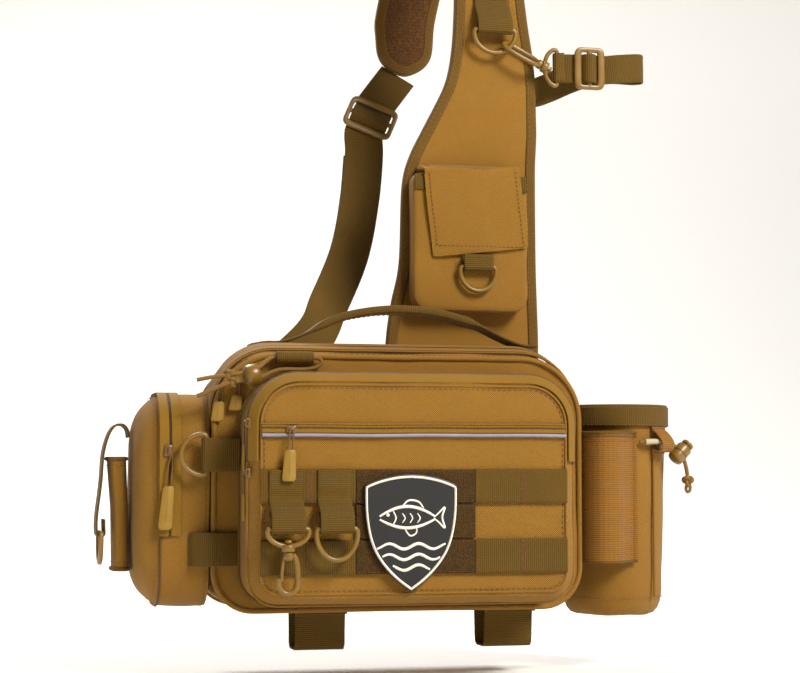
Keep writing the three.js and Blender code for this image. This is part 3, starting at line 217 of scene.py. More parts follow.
def piled(name, lit, deep, tuft, depth):
    """A pile or knitted mesh: round cells the size of a tuft or hole, dark between them."""
    material, tree = new_material(name)
    place = add_node(tree, "ShaderNodeUVMap").outputs["UV"]
    cells = add_node(tree, "ShaderNodeTexVoronoi", {}, {"Scale": 1.0 / tuft, "Randomness": 0.55},
                     {"Vector": place}).outputs["Distance"]
    fuzz = add_node(tree, "ShaderNodeTexNoise", {}, {"Scale": 2.4, "Detail": 4.0},
                    {"Vector": place}).outputs["Fac"]
    amount = combine(tree, "ADD", combine(tree, "MULTIPLY", cells, 0.9),
                     combine(tree, "MULTIPLY", fuzz, 0.3))
    colour = add_node(tree, "ShaderNodeMix", {"data_type": "RGBA"}, {6: linear(lit), 7: linear(deep)},
                      {0: amount}).outputs[2]
    bump = add_node(tree, "ShaderNodeBump", {"invert": True},
                    {"Strength": 0.9, "Distance": depth / 1000.0},
                    {"Height": amount})
    shader = add_node(tree, "ShaderNodeBsdfPrincipled", {},
                      {"Roughness": 0.95, "Sheen Weight": 0.05, "Specular IOR Level": 0.2},
                      {"Base Color": colour, "Normal": bump.outputs[0]})
    add_node(tree, "ShaderNodeOutputMaterial", {}, {}, {"Surface": shader.outputs[0]})
    return material


MATERIALS = {}


def make_materials():
    """One material for each real one on the bag, each with the detail that the real one shows, and a dark
    one that paints the shade in the zip slots.
    """
    MATERIALS.update({
        # PU-coated nylon oxford: a plain basket weave with a dry, dusty face. The threads of the
        # real cloth are near 0.5 mm, and they are drawn at 1.6 mm so that they show.
        "oxford": woven("coated_oxford_cloth", "9E7128", "624210", 1.6, "oxford", 0.55, 0.88, 0.06,
                        "A87B34", 0.2),
        # Nylon webbing: close ribs across its width, and darker than the cloth.
        "webbing": woven("nylon_webbing", "664A0D", "362706", 1.9, "rib", 0.35, 0.8, 0.05,
                         "765719", 0.2, 1.5),
        # Zip tape: a fine twill, mustard and a little brighter than the webbing.
        "tape": woven("zip_tape", "8C6512", "604309", 1.3, "twill", 0.2, 0.75, 0.06, "98702A", 0.15),
        # Grosgrain binding: ribbed across, olive brown, folded over the cut edges.
        "binding": woven("grosgrain_binding", "6E4E12", "3E2B08", 1.2, "rib", 0.25, 0.8, 0.05,
                         "8A6A28", 0.2, 1.3),
        # Covered elastic: fine cords along its length.
        "elastic": woven("ribbed_elastic", "93641F", "5B3A10", 4.0, "rib", 0.5, 0.8, 0.06,
                         "A0742F", 0.15, 1.6),
        # Hook-and-loop field: a brushed loop pile.
        "pile": piled("brushed_loop_pile", "563B12", "271A07", 1.6, 0.8),
        # Warp-knitted spacer mesh on the side of the pad that is worn: dark, with small holes.
        "mesh": piled("spacer_mesh", "130A04", "6E4822", 2.9, 0.9),
        # Reflective piping: grey beads in a clear film, with a lavender cast.
        "piping": moulded("reflective_piping_film", "8E8694", "6F6778", 0.45, 0.8, 0.05),
        # Moulded acetal: smooth and waxy.
        "acetal": moulded("moulded_acetal", "83611F", "62470F", 0.34, 0.7, 0.04),
        # Soft rubber of the pulls: matt, with a fine grain.
        "rubber": moulded("pull_rubber", "97731B", "775710", 0.55, 0.5, 0.05),
        # Moulded soft PVC of the patch: nearly black, and the raised lines in off-white.
        "patch": moulded("patch_base_vinyl", "15110F", "0B0908", 0.5, 0.6, 0.03),
        "patch_line": moulded("patch_line_vinyl", "F1EBDD", "DDD3BF", 0.5, 0.6, 0.03),
        # Zip coil: monofilament, brown, a little shiny.
        "coil": moulded("zip_coil", "4A3210", "2E1E08", 0.4, 0.6, 0.03),
        # Lacquered zinc of the zip sliders.
        "slider": moulded("slider_enamel", "7A5424", "5C3E17", 0.35, 0.9, 0.03, 0.2),
        # Bonded polyester thread, drawn at twice its real 0.4 mm so that the rows show.
        "thread": moulded("sewing_thread", "7A4F22", "5E3A14", 0.7, 0.4, 0.05),
        "dark_thread": moulded("dark_sewing_thread", "5C3A14", "412808", 0.75, 0.4, 0.05),
        # Braided elastic cord: its cover's diagonal strands.
        "cord": woven("braided_cord", "8F6A2E", "523910", 1.3, "twill", 0.3, 0.8, 0.06, "A5824A", 0.2),
        # Waxed thread whipping on the drawcord.
        "whipping": woven("waxed_whipping", "CFC2A2", "8C7C58", 0.9, "rib", 0.25, 0.65, 0.05,
                          "DCD1B8", 0.2),
        # Painted shade: a dark strip laid under the zip coils, so that the slots between the tapes and
        # flaps read dark.
        "zip_slot_shade": woven("painted_zip_slot_shade", "33210B", "1B1105", 1.3, "oxford", 0.15, 0.9, 0.03, "3C2812", 0.1),
    })


# Surfaces

def row_frame(points):
    """Bag millimetres to metres in the frame's own axes."""
    return (np.asarray(points, float) - SHOULDER_REST) / 1000.0


def unit(vectors):
    """Each vector divided by its length."""
    vectors = np.asarray(vectors, float)
    return vectors / np.maximum(np.linalg.norm(vectors, axis=-1, keepdims=True), 1e-9)


def even(points, count, closed=False):
    """A Catmull-Rom line through the points, sampled again at even distances along it."""
    knots = np.asarray(points, float)
    if closed:
        rows = np.vstack([knots[-1:], knots, knots[:2]])
        spans = len(knots)
    else:
        rows = np.vstack([2 * knots[:1] - knots[1:2], knots, 2 * knots[-1:] - knots[-2:-1]])
        spans = len(knots) - 1
    t = np.linspace(0, 1, 16, endpoint=False)[None, :, None]
    a, b, c, d = (rows[k:k + spans][:, None, :] for k in range(4))
    line = 0.5 * (2 * b + (c - a) * t + (2 * a - 5 * b + 4 * c - d) * t ** 2
                  + (3 * b - a - 3 * c + d) * t ** 3)
    line = np.vstack([line.reshape(-1, knots.shape[1]), knots[:1] if closed else knots[-1:]])
    return spaced(line, count, closed)


def spaced(line, count, closed=False):
    """Points at even distances along a polyline. A closed one repeats its first point at its end."""
    steps = np.linalg.norm(np.diff(line[:, :3], axis=0), axis=1)
    length = np.concatenate([[0], np.cumsum(steps)])
    want = np.linspace(0, length[-1], count + 1)[:-1] if closed else np.linspace(0, length[-1], count)
    return np.stack([np.interp(want, length, line[:, k]) for k in range(line.shape[1])], axis=1)


def length_of(path, closed=False):
    """The length of a polyline."""
    steps = np.diff(np.vstack([path, path[:1]]) if closed else path, axis=0)
    return float(np.linalg.norm(steps, axis=1).sum())


def travel(path, closed=False):
    """Unit directions of travel along a path."""
    if closed:
        return unit(np.roll(path, -1, 0) - np.roll(path, 1, 0))
    return unit(np.gradient(path, axis=0))


def transported(path, closed=False, start=None):
    """A side direction at each station of a path, carried along it without twist."""
    way = travel(path, closed)
    if start is None:
        start = np.eye(3)[np.argmin(np.abs(way).sum(0) if closed else np.abs(way[0]))]
    sides = [unit(np.asarray(start, float) - way[0] * np.dot(start, way[0]))]
    for direction in way[1:]:
        sides.append(unit(sides[-1] - direction * np.dot(sides[-1], direction)))
    return np.array(sides)


def rippled(points, size, seed):
    """Smooth noise from -1 to 1 at each point: eight sine waves of about that wavelength in millimetres."""
    rng = np.random.default_rng(seed)
    waves = unit(rng.normal(size=(8, 3))) * (2 * np.pi / (size * rng.uniform(0.7, 1.7, 8)))[:, None]
    return np.sin(np.asarray(points) @ waves.T + rng.uniform(0, 2 * np.pi, 8)).sum(-1) / 4.0


def outward(grid, rows_closed=False, columns_closed=True):
    """Unit normals of a grid, by the cross product of its two directions of travel."""
    down = np.roll(grid, -1, 0) - np.roll(grid, 1, 0) if rows_closed else np.gradient(grid, axis=0)
    along = np.roll(grid, -1, 1) - np.roll(grid, 1, 1) if columns_closed else np.gradient(grid, axis=1)
    return unit(np.cross(along, down))


def shape(grid, rows_closed=False, columns_closed=True, capped=True, turn_uv=False):
    """Quads over a grid of rows and columns of points, as points, faces and UVs in millimetres.
    A grid whose columns are closed is a tube or shell, and its end rows get caps."""
    grid = np.asarray(grid, float)
    rows, columns = grid.shape[:2]
    index = np.arange(rows * columns).reshape(rows, columns)
    wide = np.concatenate([grid, grid[:, :1]], 1) if columns_closed else grid
    tall = np.concatenate([grid, grid[:1]], 0) if rows_closed else grid
    across = np.linalg.norm(np.diff(wide, axis=1), axis=2).max(0)
    along = np.linalg.norm(np.diff(tall, axis=0), axis=2).mean(1)
    u = np.concatenate([[0], np.cumsum(across)])
    v = np.concatenate([[0], np.cumsum(along)])
    if columns_closed:
        index = np.concatenate([index, index[:, :1]], 1)
    if rows_closed:
        index = np.concatenate([index, index[:1]], 0)
    uv = np.stack(np.meshgrid(u, v), -1)
    if turn_uv:
        uv = uv[..., ::-1]
    corners = [(slice(None, -1), slice(None, -1)), (slice(None, -1), slice(1, None)),
               (slice(1, None), slice(1, None)), (slice(1, None), slice(None, -1))]
    quads = np.stack([index[c] for c in corners], -1).reshape(-1, 4)
    places = np.stack([uv[c] for c in corners], -2).reshape(-1, 4, 2)
    points = grid.reshape(-1, 3)
    a, b, c, d = (points[quads[:, k]] for k in range(4))
    flipped = (np.cross(a, b) * c).sum() + (np.cross(a, c) * d).sum() < 0
    faces = (quads[:, ::-1] if flipped else quads).tolist()
    uvs = (places[:, ::-1] if flipped else places).reshape(-1, 2)
    if capped and columns_closed and not rows_closed:
        for end, ring in enumerate((index[0, :-1], index[-1, :-1])):
            backwards = (end == 0) != flipped
            faces.append((ring[::-1] if backwards else ring).tolist())
            flat = points[ring[::-1] if backwards else ring]
            flat = flat - flat.mean(0)
            axes = np.linalg.svd(flat, full_matrices=False)[2][:2]
            uvs = np.vstack([uvs, flat @ axes.T])
    return points, faces, uvs


def strewn(base, centres, across, along, out):
    """Copies of one small shape: each stands at a centre, with its axes turned to the given directions."""
    points, faces, uvs = base
    axes = np.stack([np.broadcast_to(a, np.shape(centres)) for a in (across, along, out)], 1)
    placed = np.einsum("pk,nkc->npc", points, axes) + np.asarray(centres)[:, None, :]
    count = len(placed)
    starts = np.arange(count) * len(points)
    every = []
    for start in starts:
        every.extend([[k + start for k in face] for face in faces])
    return placed.reshape(-1, 3), every, np.tile(uvs, (count, 1))


def bead(width, length, height, sides=6, rings=4):
    """A small ellipsoid: sine and cosine of two angles, times half its width, length and height."""
    turn = np.linspace(0, 2 * np.pi, sides, endpoint=False)[None, :]
    rise = np.linspace(0.12, 0.88, rings)[:, None] * np.pi
    grid = np.stack([
        np.sin(rise) * np.cos(turn) * width / 2,
        np.cos(rise) * length / 2 + 0 * turn,
        np.sin(rise) * np.sin(turn) * height / 2,
    ], -1)
    return shape(grid)


def laid_out(path, out, count, closed=False):
    """Centres at even distances along a path, its direction at each, and the way out square to it."""
    line = np.hstack([path, np.broadcast_to(np.asarray(out, float), np.shape(path))])
    if closed:
        line = np.vstack([line, line[:1]])
    line = spaced(line, count, closed)
    way = travel(line[:, :3], closed)
    away = unit(line[:, 3:] - way * (line[:, 3:] * way).sum(1, keepdims=True))
    return line[:, :3], way, away


def stitched(path, out, pitch=3.6, share=0.7, thick=0.7, lift=0.15, closed=False):
    """A row of stitches: beads along a path at an even pitch, with their backs in the cloth."""
    centres, way, away = laid_out(path, out, max(2, int(length_of(path, closed) / pitch)), closed)
    return strewn(bead(thick, pitch * share, thick), centres + away * lift,
                  np.cross(way, away), way, away)


def toothed(path, out, pitch=1.7, width=3.4):
    """Zip coil: small rounded rungs across a path, one for each turn of the coil."""
    centres, way, away = laid_out(path, out, int(length_of(path) / pitch))
    return strewn(bead(width, pitch * 0.86, 1.3), centres, np.cross(way, away), way, away)


def flat_section(width, thickness, lanes=9):
    """The closed outline of webbing: two flat faces with round selvedges between them."""
    r = thickness / 2
    x = np.linspace(r - width / 2, width / 2 - r, lanes)
    turn = np.linspace(np.pi / 2, -np.pi / 2, 5)[1:-1]
    edge = np.stack([width / 2 - r + r * np.cos(turn), r * np.sin(turn)], 1)
    top = table(x, r)
    return np.vstack([top, edge, -top, -edge])


def band(path, side, width, thickness=1.6, closed=False, lanes=9, turned_weave=False):
    """Webbing carried along a path. Each point is the station, plus across times its side
    direction, plus the section's height times its face direction. A list of widths, one for each
    station, stretches a section of unit size."""
    path = np.asarray(path, float)
    way = travel(path, closed)
    out = unit(np.cross(np.broadcast_to(side, path.shape), way))
    side = unit(np.cross(way, out))
    if np.isscalar(width):
        section = flat_section(width, thickness, lanes)
        grid = path[:, None] + side[:, None] * section[None, :, :1] + out[:, None] * section[None, :, 1:]
    else:
        section = flat_section(1, 1, lanes)
        broad = np.asarray(width)[:, None, None]
        grid = path[:, None] + side[:, None] * section[None, :, :1] * broad
        grid = grid + out[:, None] * section[None, :, 1:] * thickness
    return shape(grid, rows_closed=closed, turn_uv=turned_weave)


def tube(path, radius, sides=12, closed=False, start=None, squash=1.0):
    """Round stock carried along a path: the station plus radius times cosine and sine of the turn."""
    path = np.asarray(path, float)
    side = transported(path, closed, start)
    out = np.cross(travel(path, closed), side)
    turn = np.linspace(0, 2 * np.pi, sides, endpoint=False)
    radius = np.broadcast_to(radius, len(path))[:, None, None]
    grid = (path[:, None] + radius * np.cos(turn)[None, :, None] * side[:, None]
            + squash * radius * np.sin(turn)[None, :, None] * out[:, None])
    return shape(grid, rows_closed=closed)


def turned(profile, centre, axis, count=24):
    """A profile of radius and height turned round an axis: radius times cosine and sine of the turn."""
    axis = unit(axis)
    side = unit(np.cross(axis, np.eye(3)[np.argmin(np.abs(axis))]))
    out = np.cross(axis, side)
    turn = np.linspace(0, 2 * np.pi, count, endpoint=False)
    profile = np.asarray(profile, float)
    ring = np.cos(turn)[None, :, None] * side + np.sin(turn)[None, :, None] * out
    return shape(np.asarray(centre, float) + profile[:, None, 1:2] * axis + profile[:, None, :1] * ring)


def squared(turn, power):
    """The cosine and sine of a turn, each to that power with its sign kept: a circle made squarer."""
    return [np.sign(wave) * np.abs(wave) ** power for wave in (np.cos(turn), np.sin(turn))]


def table(*columns):
    """Lists and single numbers side by side, as the columns of one array."""
    return np.stack(np.broadcast_arrays(*columns), 1)


def rounded(half, foot, top, top_radius, foot_radius, count):
    """A rectangle with round corners in X and Z, from the middle of its foot, at even distances."""
    corners = [
        (half - foot_radius, foot + foot_radius, foot_radius, -0.5),
        (half - top_radius, top - top_radius, top_radius, 0.0),
        (top_radius - half, top - top_radius, top_radius, 0.5),
        (foot_radius - half, foot + foot_radius, foot_radius, 1.0),
    ]
    turn = np.linspace(0, 0.5, 13)
    line = [np.stack([x + r * np.cos((turn + start) * np.pi), z + r * np.sin((turn + start) * np.pi)], 1)
            for x, z, r, start in corners]
    line = np.vstack([[[0.0, foot]], *line, [[0.0, foot]]])
    return spaced(line, count, closed=True)


def piece(name, parts, body="bag", stands_for=()):
    """One object from shapes, each with its material, placed in the frame and riding on a body."""
    points, faces, uvs, finishes, picks = [], [], [], [], []
    start = 0
    for (some, quads, places), finish in parts:
        points.append(some)
        faces.extend([[k + start for k in face] for face in quads])
        uvs.append(places)
        if finish not in finishes:
            finishes.append(finish)
        picks.extend([finishes.index(finish)] * len(quads))
        start += len(some)
    mesh = bpy.data.meshes.new(name)
    mesh.from_pydata(row_frame(np.vstack(points)).tolist(), [], faces)
    layer = mesh.uv_layers.new(name="UVMap")
    layer.data.foreach_set("uv", np.vstack(uvs).astype(np.float32).ravel())
    for finish in finishes:
        mesh.materials.append(MATERIALS[finish])
    mesh.polygons.foreach_set("material_index", np.array(picks, np.int32))
    mesh.polygons.foreach_set("use_smooth", np.ones(len(faces), bool))
    mesh.set_sharp_from_angle(angle=math.radians(55))
    mesh.update()
    made = bpy.data.objects.new(name, mesh)
    bpy.context.scene.collection.objects.link(made)
    if stands_for:
        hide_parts(*([stands_for] if isinstance(stands_for, str) else stands_for))
    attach(made, body)
    return made


# Pieces of the bag's body

def rumpled(grid, amount, size, seed, rows_closed=False):
    """Moves each point inwards along its normal by up to that many millimetres of smooth noise."""
    out = outward(grid, rows_closed)
    middle = grid.reshape(-1, 3).mean(0)
    out = out * np.sign(((grid - middle) * out).sum())
    noise = 0.5 + 0.5 * rippled(grid.reshape(-1, 3), size, seed).reshape(grid.shape[:2])
    return grid - out * (amount * np.clip(noise, 0, 1.3))[..., None]


def lifted(points, amount):
    """The crown of the main compartment: points near its top rise most half way back."""
    y = np.clip(points[..., 1] / MAIN_BACK, -1, 1)
    share = np.clip((points[..., 2] - 115) / (MAIN_TOP - 115), 0, 1)
    share = share * share * (3 - 2 * share)
    moved = points.copy()
    moved[..., 2] += amount * (1 - np.abs(y) ** 2.2) * share
    return moved


def layered(outline, rows, middle):
    """A closed shell of rows, each an outline drawn in towards its middle by a share, at a depth."""
    rows = np.asarray(rows, float)
    flat = middle + (outline - middle) * rows[:, 0][:, None, None]
    depth = np.broadcast_to(rows[:, 1][:, None, None], flat.shape[:2] + (1,))
    return np.concatenate([flat[..., :1], depth, flat[..., 1:]], -1)


def seam_line(outline, y):
    """An outline in X and Z laid at one depth, as points."""
    return table(outline[:, 0], y, outline[:, 1])


def main_outline(inset=0.0, count=280):
    """The outline of the main compartment, drawn in by that many millimetres."""
    return rounded(MAIN_HALF - inset, MAIN_FOOT + inset, MAIN_TOP - inset, 46 - inset, 30 - inset, count)


def pocket_outline(inset=0.0, count=260):
    """The outline of the front pocket, drawn in by that many millimetres."""
    return rounded(POCKET_HALF - inset, POCKET_FOOT + inset, POCKET_TOP - inset, 36 - inset,
                   22 - inset, count)


def upper_part(line, low):
    """The stretch of an outline above a height, in order from one side over the top to the other."""
    start = np.argmin(np.where(line[:, 0] > 0, np.abs(line[:, -1] - low), 1e9))
    stop = np.argmin(np.where(line[:, 0] < 0, np.abs(line[:, -1] - low), 1e9))
    return line[start:stop + 1]


def upper_course(outline, low):
    """The stretch of an outline above a height, and the way out of it at each of its points."""
    normal = unit(np.roll(outline, -1, 0) - np.roll(outline, 1, 0)) @ np.array([[0, -1], [1, 0]])
    rows = upper_part(np.concatenate([outline, normal], 1)[:, [0, 2, 3, 1]], low)
    return rows[:, [0, 3]], rows[:, 1:3]


def build_main_compartment(crease):
    """Rows of the rounded outline from the middle of the front, round the front seam, over the
    gusset, round the back seam to the middle of the back. The crown lifts the gusset."""
    outline = main_outline()
    sides = np.linspace(-44, 44, 23)
    rows = [(0.01, -49.6), (0.2, -49.6), (0.4, -49.6), (0.6, -49.5), (0.8, -49.5), (0.92, -49.7),
            (0.975, -49.7), (0.99, -49.2), (0.998, -47.5)]
    rows += [(1.0 - 0.004 * math.cos(y / 44 * math.pi / 2), y) for y in sides]
    rows += [(0.998, 47.5), (0.99, 49.2), (0.975, 49.6), (0.9, 49.5), (0.7, 49.0), (0.4, 48.4),
             (0.2, 48.2), (0.01, 48.2)]
    grid = lifted(layered(outline, rows, np.array([0.0, MAIN_MIDDLE])), MAIN_CROWN - 0.6)
    grid = rumpled(grid, crease, 46, 3)
    front = lifted(seam_line(main_outline(0.4), -48.9), MAIN_CROWN)
    back = lifted(seam_line(main_outline(0.4), 48.9), MAIN_CROWN)
    outer = lambda line: unit(table(line[:, 0], 0.0, line[:, 2] - MAIN_MIDDLE))
    parts = [(shape(grid), "oxford")]
    for line in (front, back):
        away = outer(line)
        parts.append((tube(line - away * 1.1, 2.1, 10, closed=True), "oxford"))
    # Rows of stitches run beside both seams on the gusset.
    for y in (-44.5, 44.5):
        line = lifted(seam_line(main_outline(0.5), y), MAIN_CROWN)
        parts.append((stitched(line, outer(line), 4.2, 0.68, 0.7, 0.0, closed=True), "thread"))
    piece("main_compartment", parts, stands_for="main_shell")
    # The zip: its coil in a slot between two cover flaps, over the top and down both sides; a dark strip
    # under the coil is painted shade that makes the slot read dark.
    flat, normal = upper_course(outline, 104)
    across = np.array([0.0, 1.0, 0.0])

    def course(place):
        return lifted(table(flat[:, 0], -30.0 + place, flat[:, 1]), MAIN_CROWN)

    away = unit(np.stack([normal[:, 0], 0 * normal[:, 0], normal[:, 1]], 1))
    slope = unit(course(1.0) - course(-1.0))
    parts = [(band(course(0.0) + away * 0.35, slope, 6.0, 0.8), "zip_slot_shade"),
             (toothed(course(0.0) + away * 1.0, away, 1.9, 4.4), "coil")]
    for place in (-6.4, 6.4):
        parts.append((band(course(place * 0.86) + away * 0.9, slope, 9.2, 1.0), "oxford"))
    for place in (-8.6, 8.6):
        parts.append((stitched(course(place) + away * 1.35, away, 3.4, 0.7, 0.5, 0.0), "dark_thread"))
    for place in (-10.8, 10.8):
        parts.append((tube(course(place) + away * 0.4, 1.0, 8, start=across, squash=0.7), "oxford"))
    piece("main_zip_tapes", parts, stands_for="main_zip")


def build_front_pocket(crease):
    """The pocket's gusset, its bevelled rim and its flat front, as rows of the rounded outline."""
    outline = pocket_outline()
    middle = np.array([0.0, POCKET_MIDDLE])
    rows = [(0.995, -51.2), (1.0, -52.0)] + [(1.0 - 0.006 * math.sin((y + 52) / -38 * math.pi), y)
                                              for y in np.linspace(-54, -88, 12)]
    rows += [(0.998, -90.6), (0.992, -92.2), (0.975, -94.8), (0.955, -97.4), (0.938, -99.2),
             (0.92, -99.8)]
    rows += [(0.9, -99.85), (0.85, -99.8), (0.7, -99.7), (0.5, -99.6), (0.3, -99.6), (0.01, -99.6)]
    grid = layered(outline, [(0.01, -51.0), (0.5, -51.0), (0.9, -51.0)] + rows, middle)
    grid = rumpled(grid, crease, 38, 8)
    parts = [(shape(grid), "oxford")]
    # The folded edge beside the zip, and the welt round the foot of the gusset.
    rim = seam_line(pocket_outline(8.6), -99.6)
    parts.append((tube(rim, 1.0, 8, closed=True, squash=0.9), "oxford"))
    parts.append((tube(seam_line(pocket_outline(0.2), -90.6), 0.95, 8, closed=True), "oxford"))
    parts.append((tube(seam_line(pocket_outline(0.3), -52.6), 1.2, 8, closed=True), "binding"))
    out = np.array([0.0, -1.0, 0.0])
    row = seam_line(pocket_outline(11.0), -99.7)
    parts.append((stitched(row, out, 4.0, 0.68, 0.65, 0.1, closed=True), "thread"))
    piece("front_pocket_cloth", parts, stands_for="front_pocket")
    # The pocket's zip on the rim: mustard tape with its coil along the outer edge.
    outer, normal = upper_course(pocket_outline(3.9), 113)
    line = table(outer[:, 0], -96.0, outer[:, 1])
    away = unit(table(normal[:, 0], -1.0, normal[:, 1]))
    across = np.cross(travel(line), away)
    seat = line + away * 0.95
    parts = [(band(seat, across, 9.2, 1.3, lanes=7), "tape")]
    edge = np.sign((across[0] * [0, 1, 0]).sum())
    parts.append((toothed(seat + across * edge * 5.3 - away * 0.2, away, 1.5, 2.4), "coil"))
    piece("front_pocket_zip_tape", parts, stands_for="front_pocket_zip")


def build_front_panel():
    """The zip across the front panel under its fold, and the reflective piping below it."""
    x = np.linspace(-111.5, 111.5, 60)
    level = 0.5 * np.sin(x / 37.0) + 0.3 * np.sin(x / 13.0 + 1)
    run = lambda z, y: table(x, y, z + level * 0.5)
    out = np.array([0.0, -1.0, 0.0])
    up = np.array([0.0, 0.0, 1.0])
    parts = [(band(run(136.0, -101.0), up, 5.6, 0.9, lanes=6), "tape")]
    parts.append((toothed(run(137.0, -101.4), out, 1.1, 1.8), "coil"))
    parts.append((tube(run(139.6, -100.7), 1.3, 10, squash=0.6), "oxford"))
    piece("panel_zip", parts, stands_for="front_panel_zip")
    parts = [(tube(run(131.7, -101.1), 1.35, 10), "piping")]
    piece("reflective_edge", parts, stands_for="reflective_piping")


def build_rows(sag):
    """Webbing rows for clip-on pouches. Each row stands off the cloth between its bar tacks, in a
    shallow bow: the sag times one less the fourth power of the place between two tacks."""
    out = np.array([0.0, -1.0, 0.0])
    up = np.array([0.0, 0.0, 1.0])
    runs = [("left", -112.3, -44.4, (-112, -78, -46)), ("right", 43.4, 112.3, (45, 79, 112))]
    for side, start, stop, tacks in runs:
        for level, top in (("upper", ROWS_TOP), ("lower", ROWS_TOP - 2 * ROW)):
            x = np.linspace(start, stop, 44)
            tack = np.asarray(tacks, float)
            place = np.interp(x, tack, np.arange(len(tack)))
            share = 2 * (place % 1) - 1
            bow = sag * np.clip(1 - share ** 4, 0, 1)
            line = table(x, -101.1 - 0.25 * bow, top - ROW / 2)
            parts = [(band(line, up, ROW - 0.6, 1.5, lanes=14), "webbing")]
            for across in tack[1:-1]:
                for shift in (-1.1, 0.0, 1.1):
                    z = np.linspace(top - ROW + 2, top - 2, 30)
                    row = table(across + shift + 0.45 * (-1.0) ** np.arange(30), -102.0, z)
                    parts.append((stitched(row, out, 1.6, 0.95, 0.75, 0.0), "thread"))
            for edge in (top - 2.4, top - ROW + 2.4):
                row = table(np.linspace(start + 2, stop - 2, 20), -101.95, edge)
                parts.append((stitched(row, out, 3.4, 0.62, 0.55, 0.0), "dark_thread"))
            piece(f"webbing_row_{level}_{side}", parts, stands_for=f"molle_{level}_{side}")
    parts = []
    for level in range(3):
        top = ROWS_TOP - level * ROW
        line = table(np.linspace(-44, 43, 30), -101.35, top - ROW / 2)
        parts.append((band(line, up, ROW - 1.0, 2.0, lanes=14), "pile"))
        for edge in (top - 1.6, top - ROW + 1.6):
            row = table(np.linspace(-42, 41, 20), -102.35, edge)
            parts.append((stitched(row, out, 3.2, 0.66, 0.6, 0.0), "dark_thread"))
    piece("loop_pile_field", parts, stands_for="loop_field")


def shield_line(width, height, count=160):
    """The shield's outline about its middle top: shares of its width and height, joined smoothly
    except at the two shoulders and the points at top and foot."""
    half = np.array([[0.0, 0.0], [0.12, 0.006], [0.25, 0.024], [0.36, 0.048], [0.44, 0.072], [0.5, 0.095],
                     [0.5, 0.2], [0.495, 0.32], [0.475, 0.45], [0.44, 0.57], [0.39, 0.67], [0.315, 0.765],
                     [0.22, 0.855], [0.11, 0.935], [0.0, 1.0]])
    curved = [half[:6], half[5:], (half[::-1] * [-1, 1])[:10], (half[::-1] * [-1, 1])[9:]]
    line = np.vstack([even(part, 60)[:-1] for part in curved])
    line = spaced(np.vstack([line, line[:1]]), count, closed=True)
    return line * [width, -height]


def build_patch():
    """A moulded shield: a domed plate with a raised border, and a plain fish over three waves."""
    top = np.array([-5.0, ROWS_TOP - 4.0])
    outline = shield_line(68.0, 83.0)
    centre = np.array([0.0, -40.0])
    plate = lambda share, y: table(top[0] + centre[0] + (outline[:, 0] - centre[0]) * share, y,
                                   top[1] + centre[1] + (outline[:, 1] - centre[1]) * share)
    back, face = -102.9, -105.4
    grid = np.stack([plate(0.01, back), plate(0.98, back), plate(1.0, back - 0.4), plate(1.0, face + 0.4),
                     plate(0.985, face), plate(0.9, face), plate(0.5, face), plate(0.01, face)])
    parts = [(shape(grid), "patch")]
    parts.append((tube(plate(0.955, face + 0.3), 1.5, 10, closed=True, squash=0.6), "patch_line"))
    out = np.array([0.0, -1.0, 0.0])

    def drawn(points, thick, count=60, closed=False):
        line = even(np.asarray(points, float), count, closed)
        path = table(top[0] + line[:, 0], face, top[1] + line[:, 1])
        ends = 1.0 if closed else np.sin(np.linspace(0.12, 0.88, count) * np.pi) ** 0.5
        return tube(path, thick * ends, 8, closed, start=out), "patch_line"

    # The fish: a long leaf of two arcs, its forked tail, two fins, its gill and its eye.
    x = np.linspace(-1, 1, 14)
    back_arc = np.stack([x * 20 - 3, -31 + 8.2 * np.cos(x * 1.45) ** 0.9], 1)
    belly = np.stack([x * 20 - 3, -31 - 7.0 * np.cos(x * 1.45) ** 0.9], 1)
    parts.append(drawn(back_arc, 1.15))
    parts.append(drawn(belly, 1.15))
    parts.append(drawn([(16.5, -30.6), (20, -27.5), (24.5, -23.5), (22.6, -30.5), (24.5, -38), (20, -34),
                        (16.5, -31.2)], 0.75))
    parts.append(drawn([(-7, -23.2), (-2, -18.6), (5, -19.4), (9, -23.8)], 0.7))
    parts.append(drawn([(-5, -38.4), (-1, -43.4), (3.4, -41.8), (4, -38.0)], 0.65))
    parts.append(drawn([(-13.2, -26.0), (-11.2, -31.0), (-13.4, -36.0)], 0.6))
    for start in (-6.5, -1.0, 4.5):
        parts.append(drawn([(start, -27.6), (start + 1.9, -31), (start, -34.4)], 0.5))
    eye = turned([(0.01, 0.0), (1.25, 0.0), (1.1, 0.7), (0.01, 0.9)],
                 (top[0] - 17.0, face, top[1] - 28.8), out, 16)
    parts.append((eye, "patch_line"))
    for level, half in ((-51.0, 25.0), (-58.5, 21.0), (-66.0, 13.5)):
        x = np.linspace(-half, half, 40)
        parts.append(drawn(np.stack([x, level + 1.9 * np.sin(x / 3.4)], 1), 1.15, 90))
    piece("shield_patch_moulding", parts, stands_for="shield_patch")


def ring_path(bar, along, down, drop, half, count=72):
    """The centre line of a D-ring: its straight bar, then half an ellipse of that drop."""
    along, down, bar = (np.asarray(v, float) for v in (along, down, bar))
    turn = np.linspace(0, np.pi, 25)[:, None]
    bow = bar + along * np.cos(turn) * half + down * (0.12 + 0.88 * np.sin(turn)) * drop
    straight = bar + along * np.linspace(-0.93, 0.93, 9)[:, None] * half
    line = np.vstack([straight, bow])
    line = spaced(np.vstack([line, line[:1]]), count, closed=True)
    return (np.roll(line, 1, 0) + 2 * line + np.roll(line, -1, 0)) / 4


def fold_arc(bar, out, down):
    """Half a turn of webbing round a bar, from its outer face over its lower side to its inner face."""
    turn = np.linspace(0, np.pi, 7)[:, None]
    return bar + FOLD_RADIUS * (np.cos(turn) * out + np.sin(turn) * down)


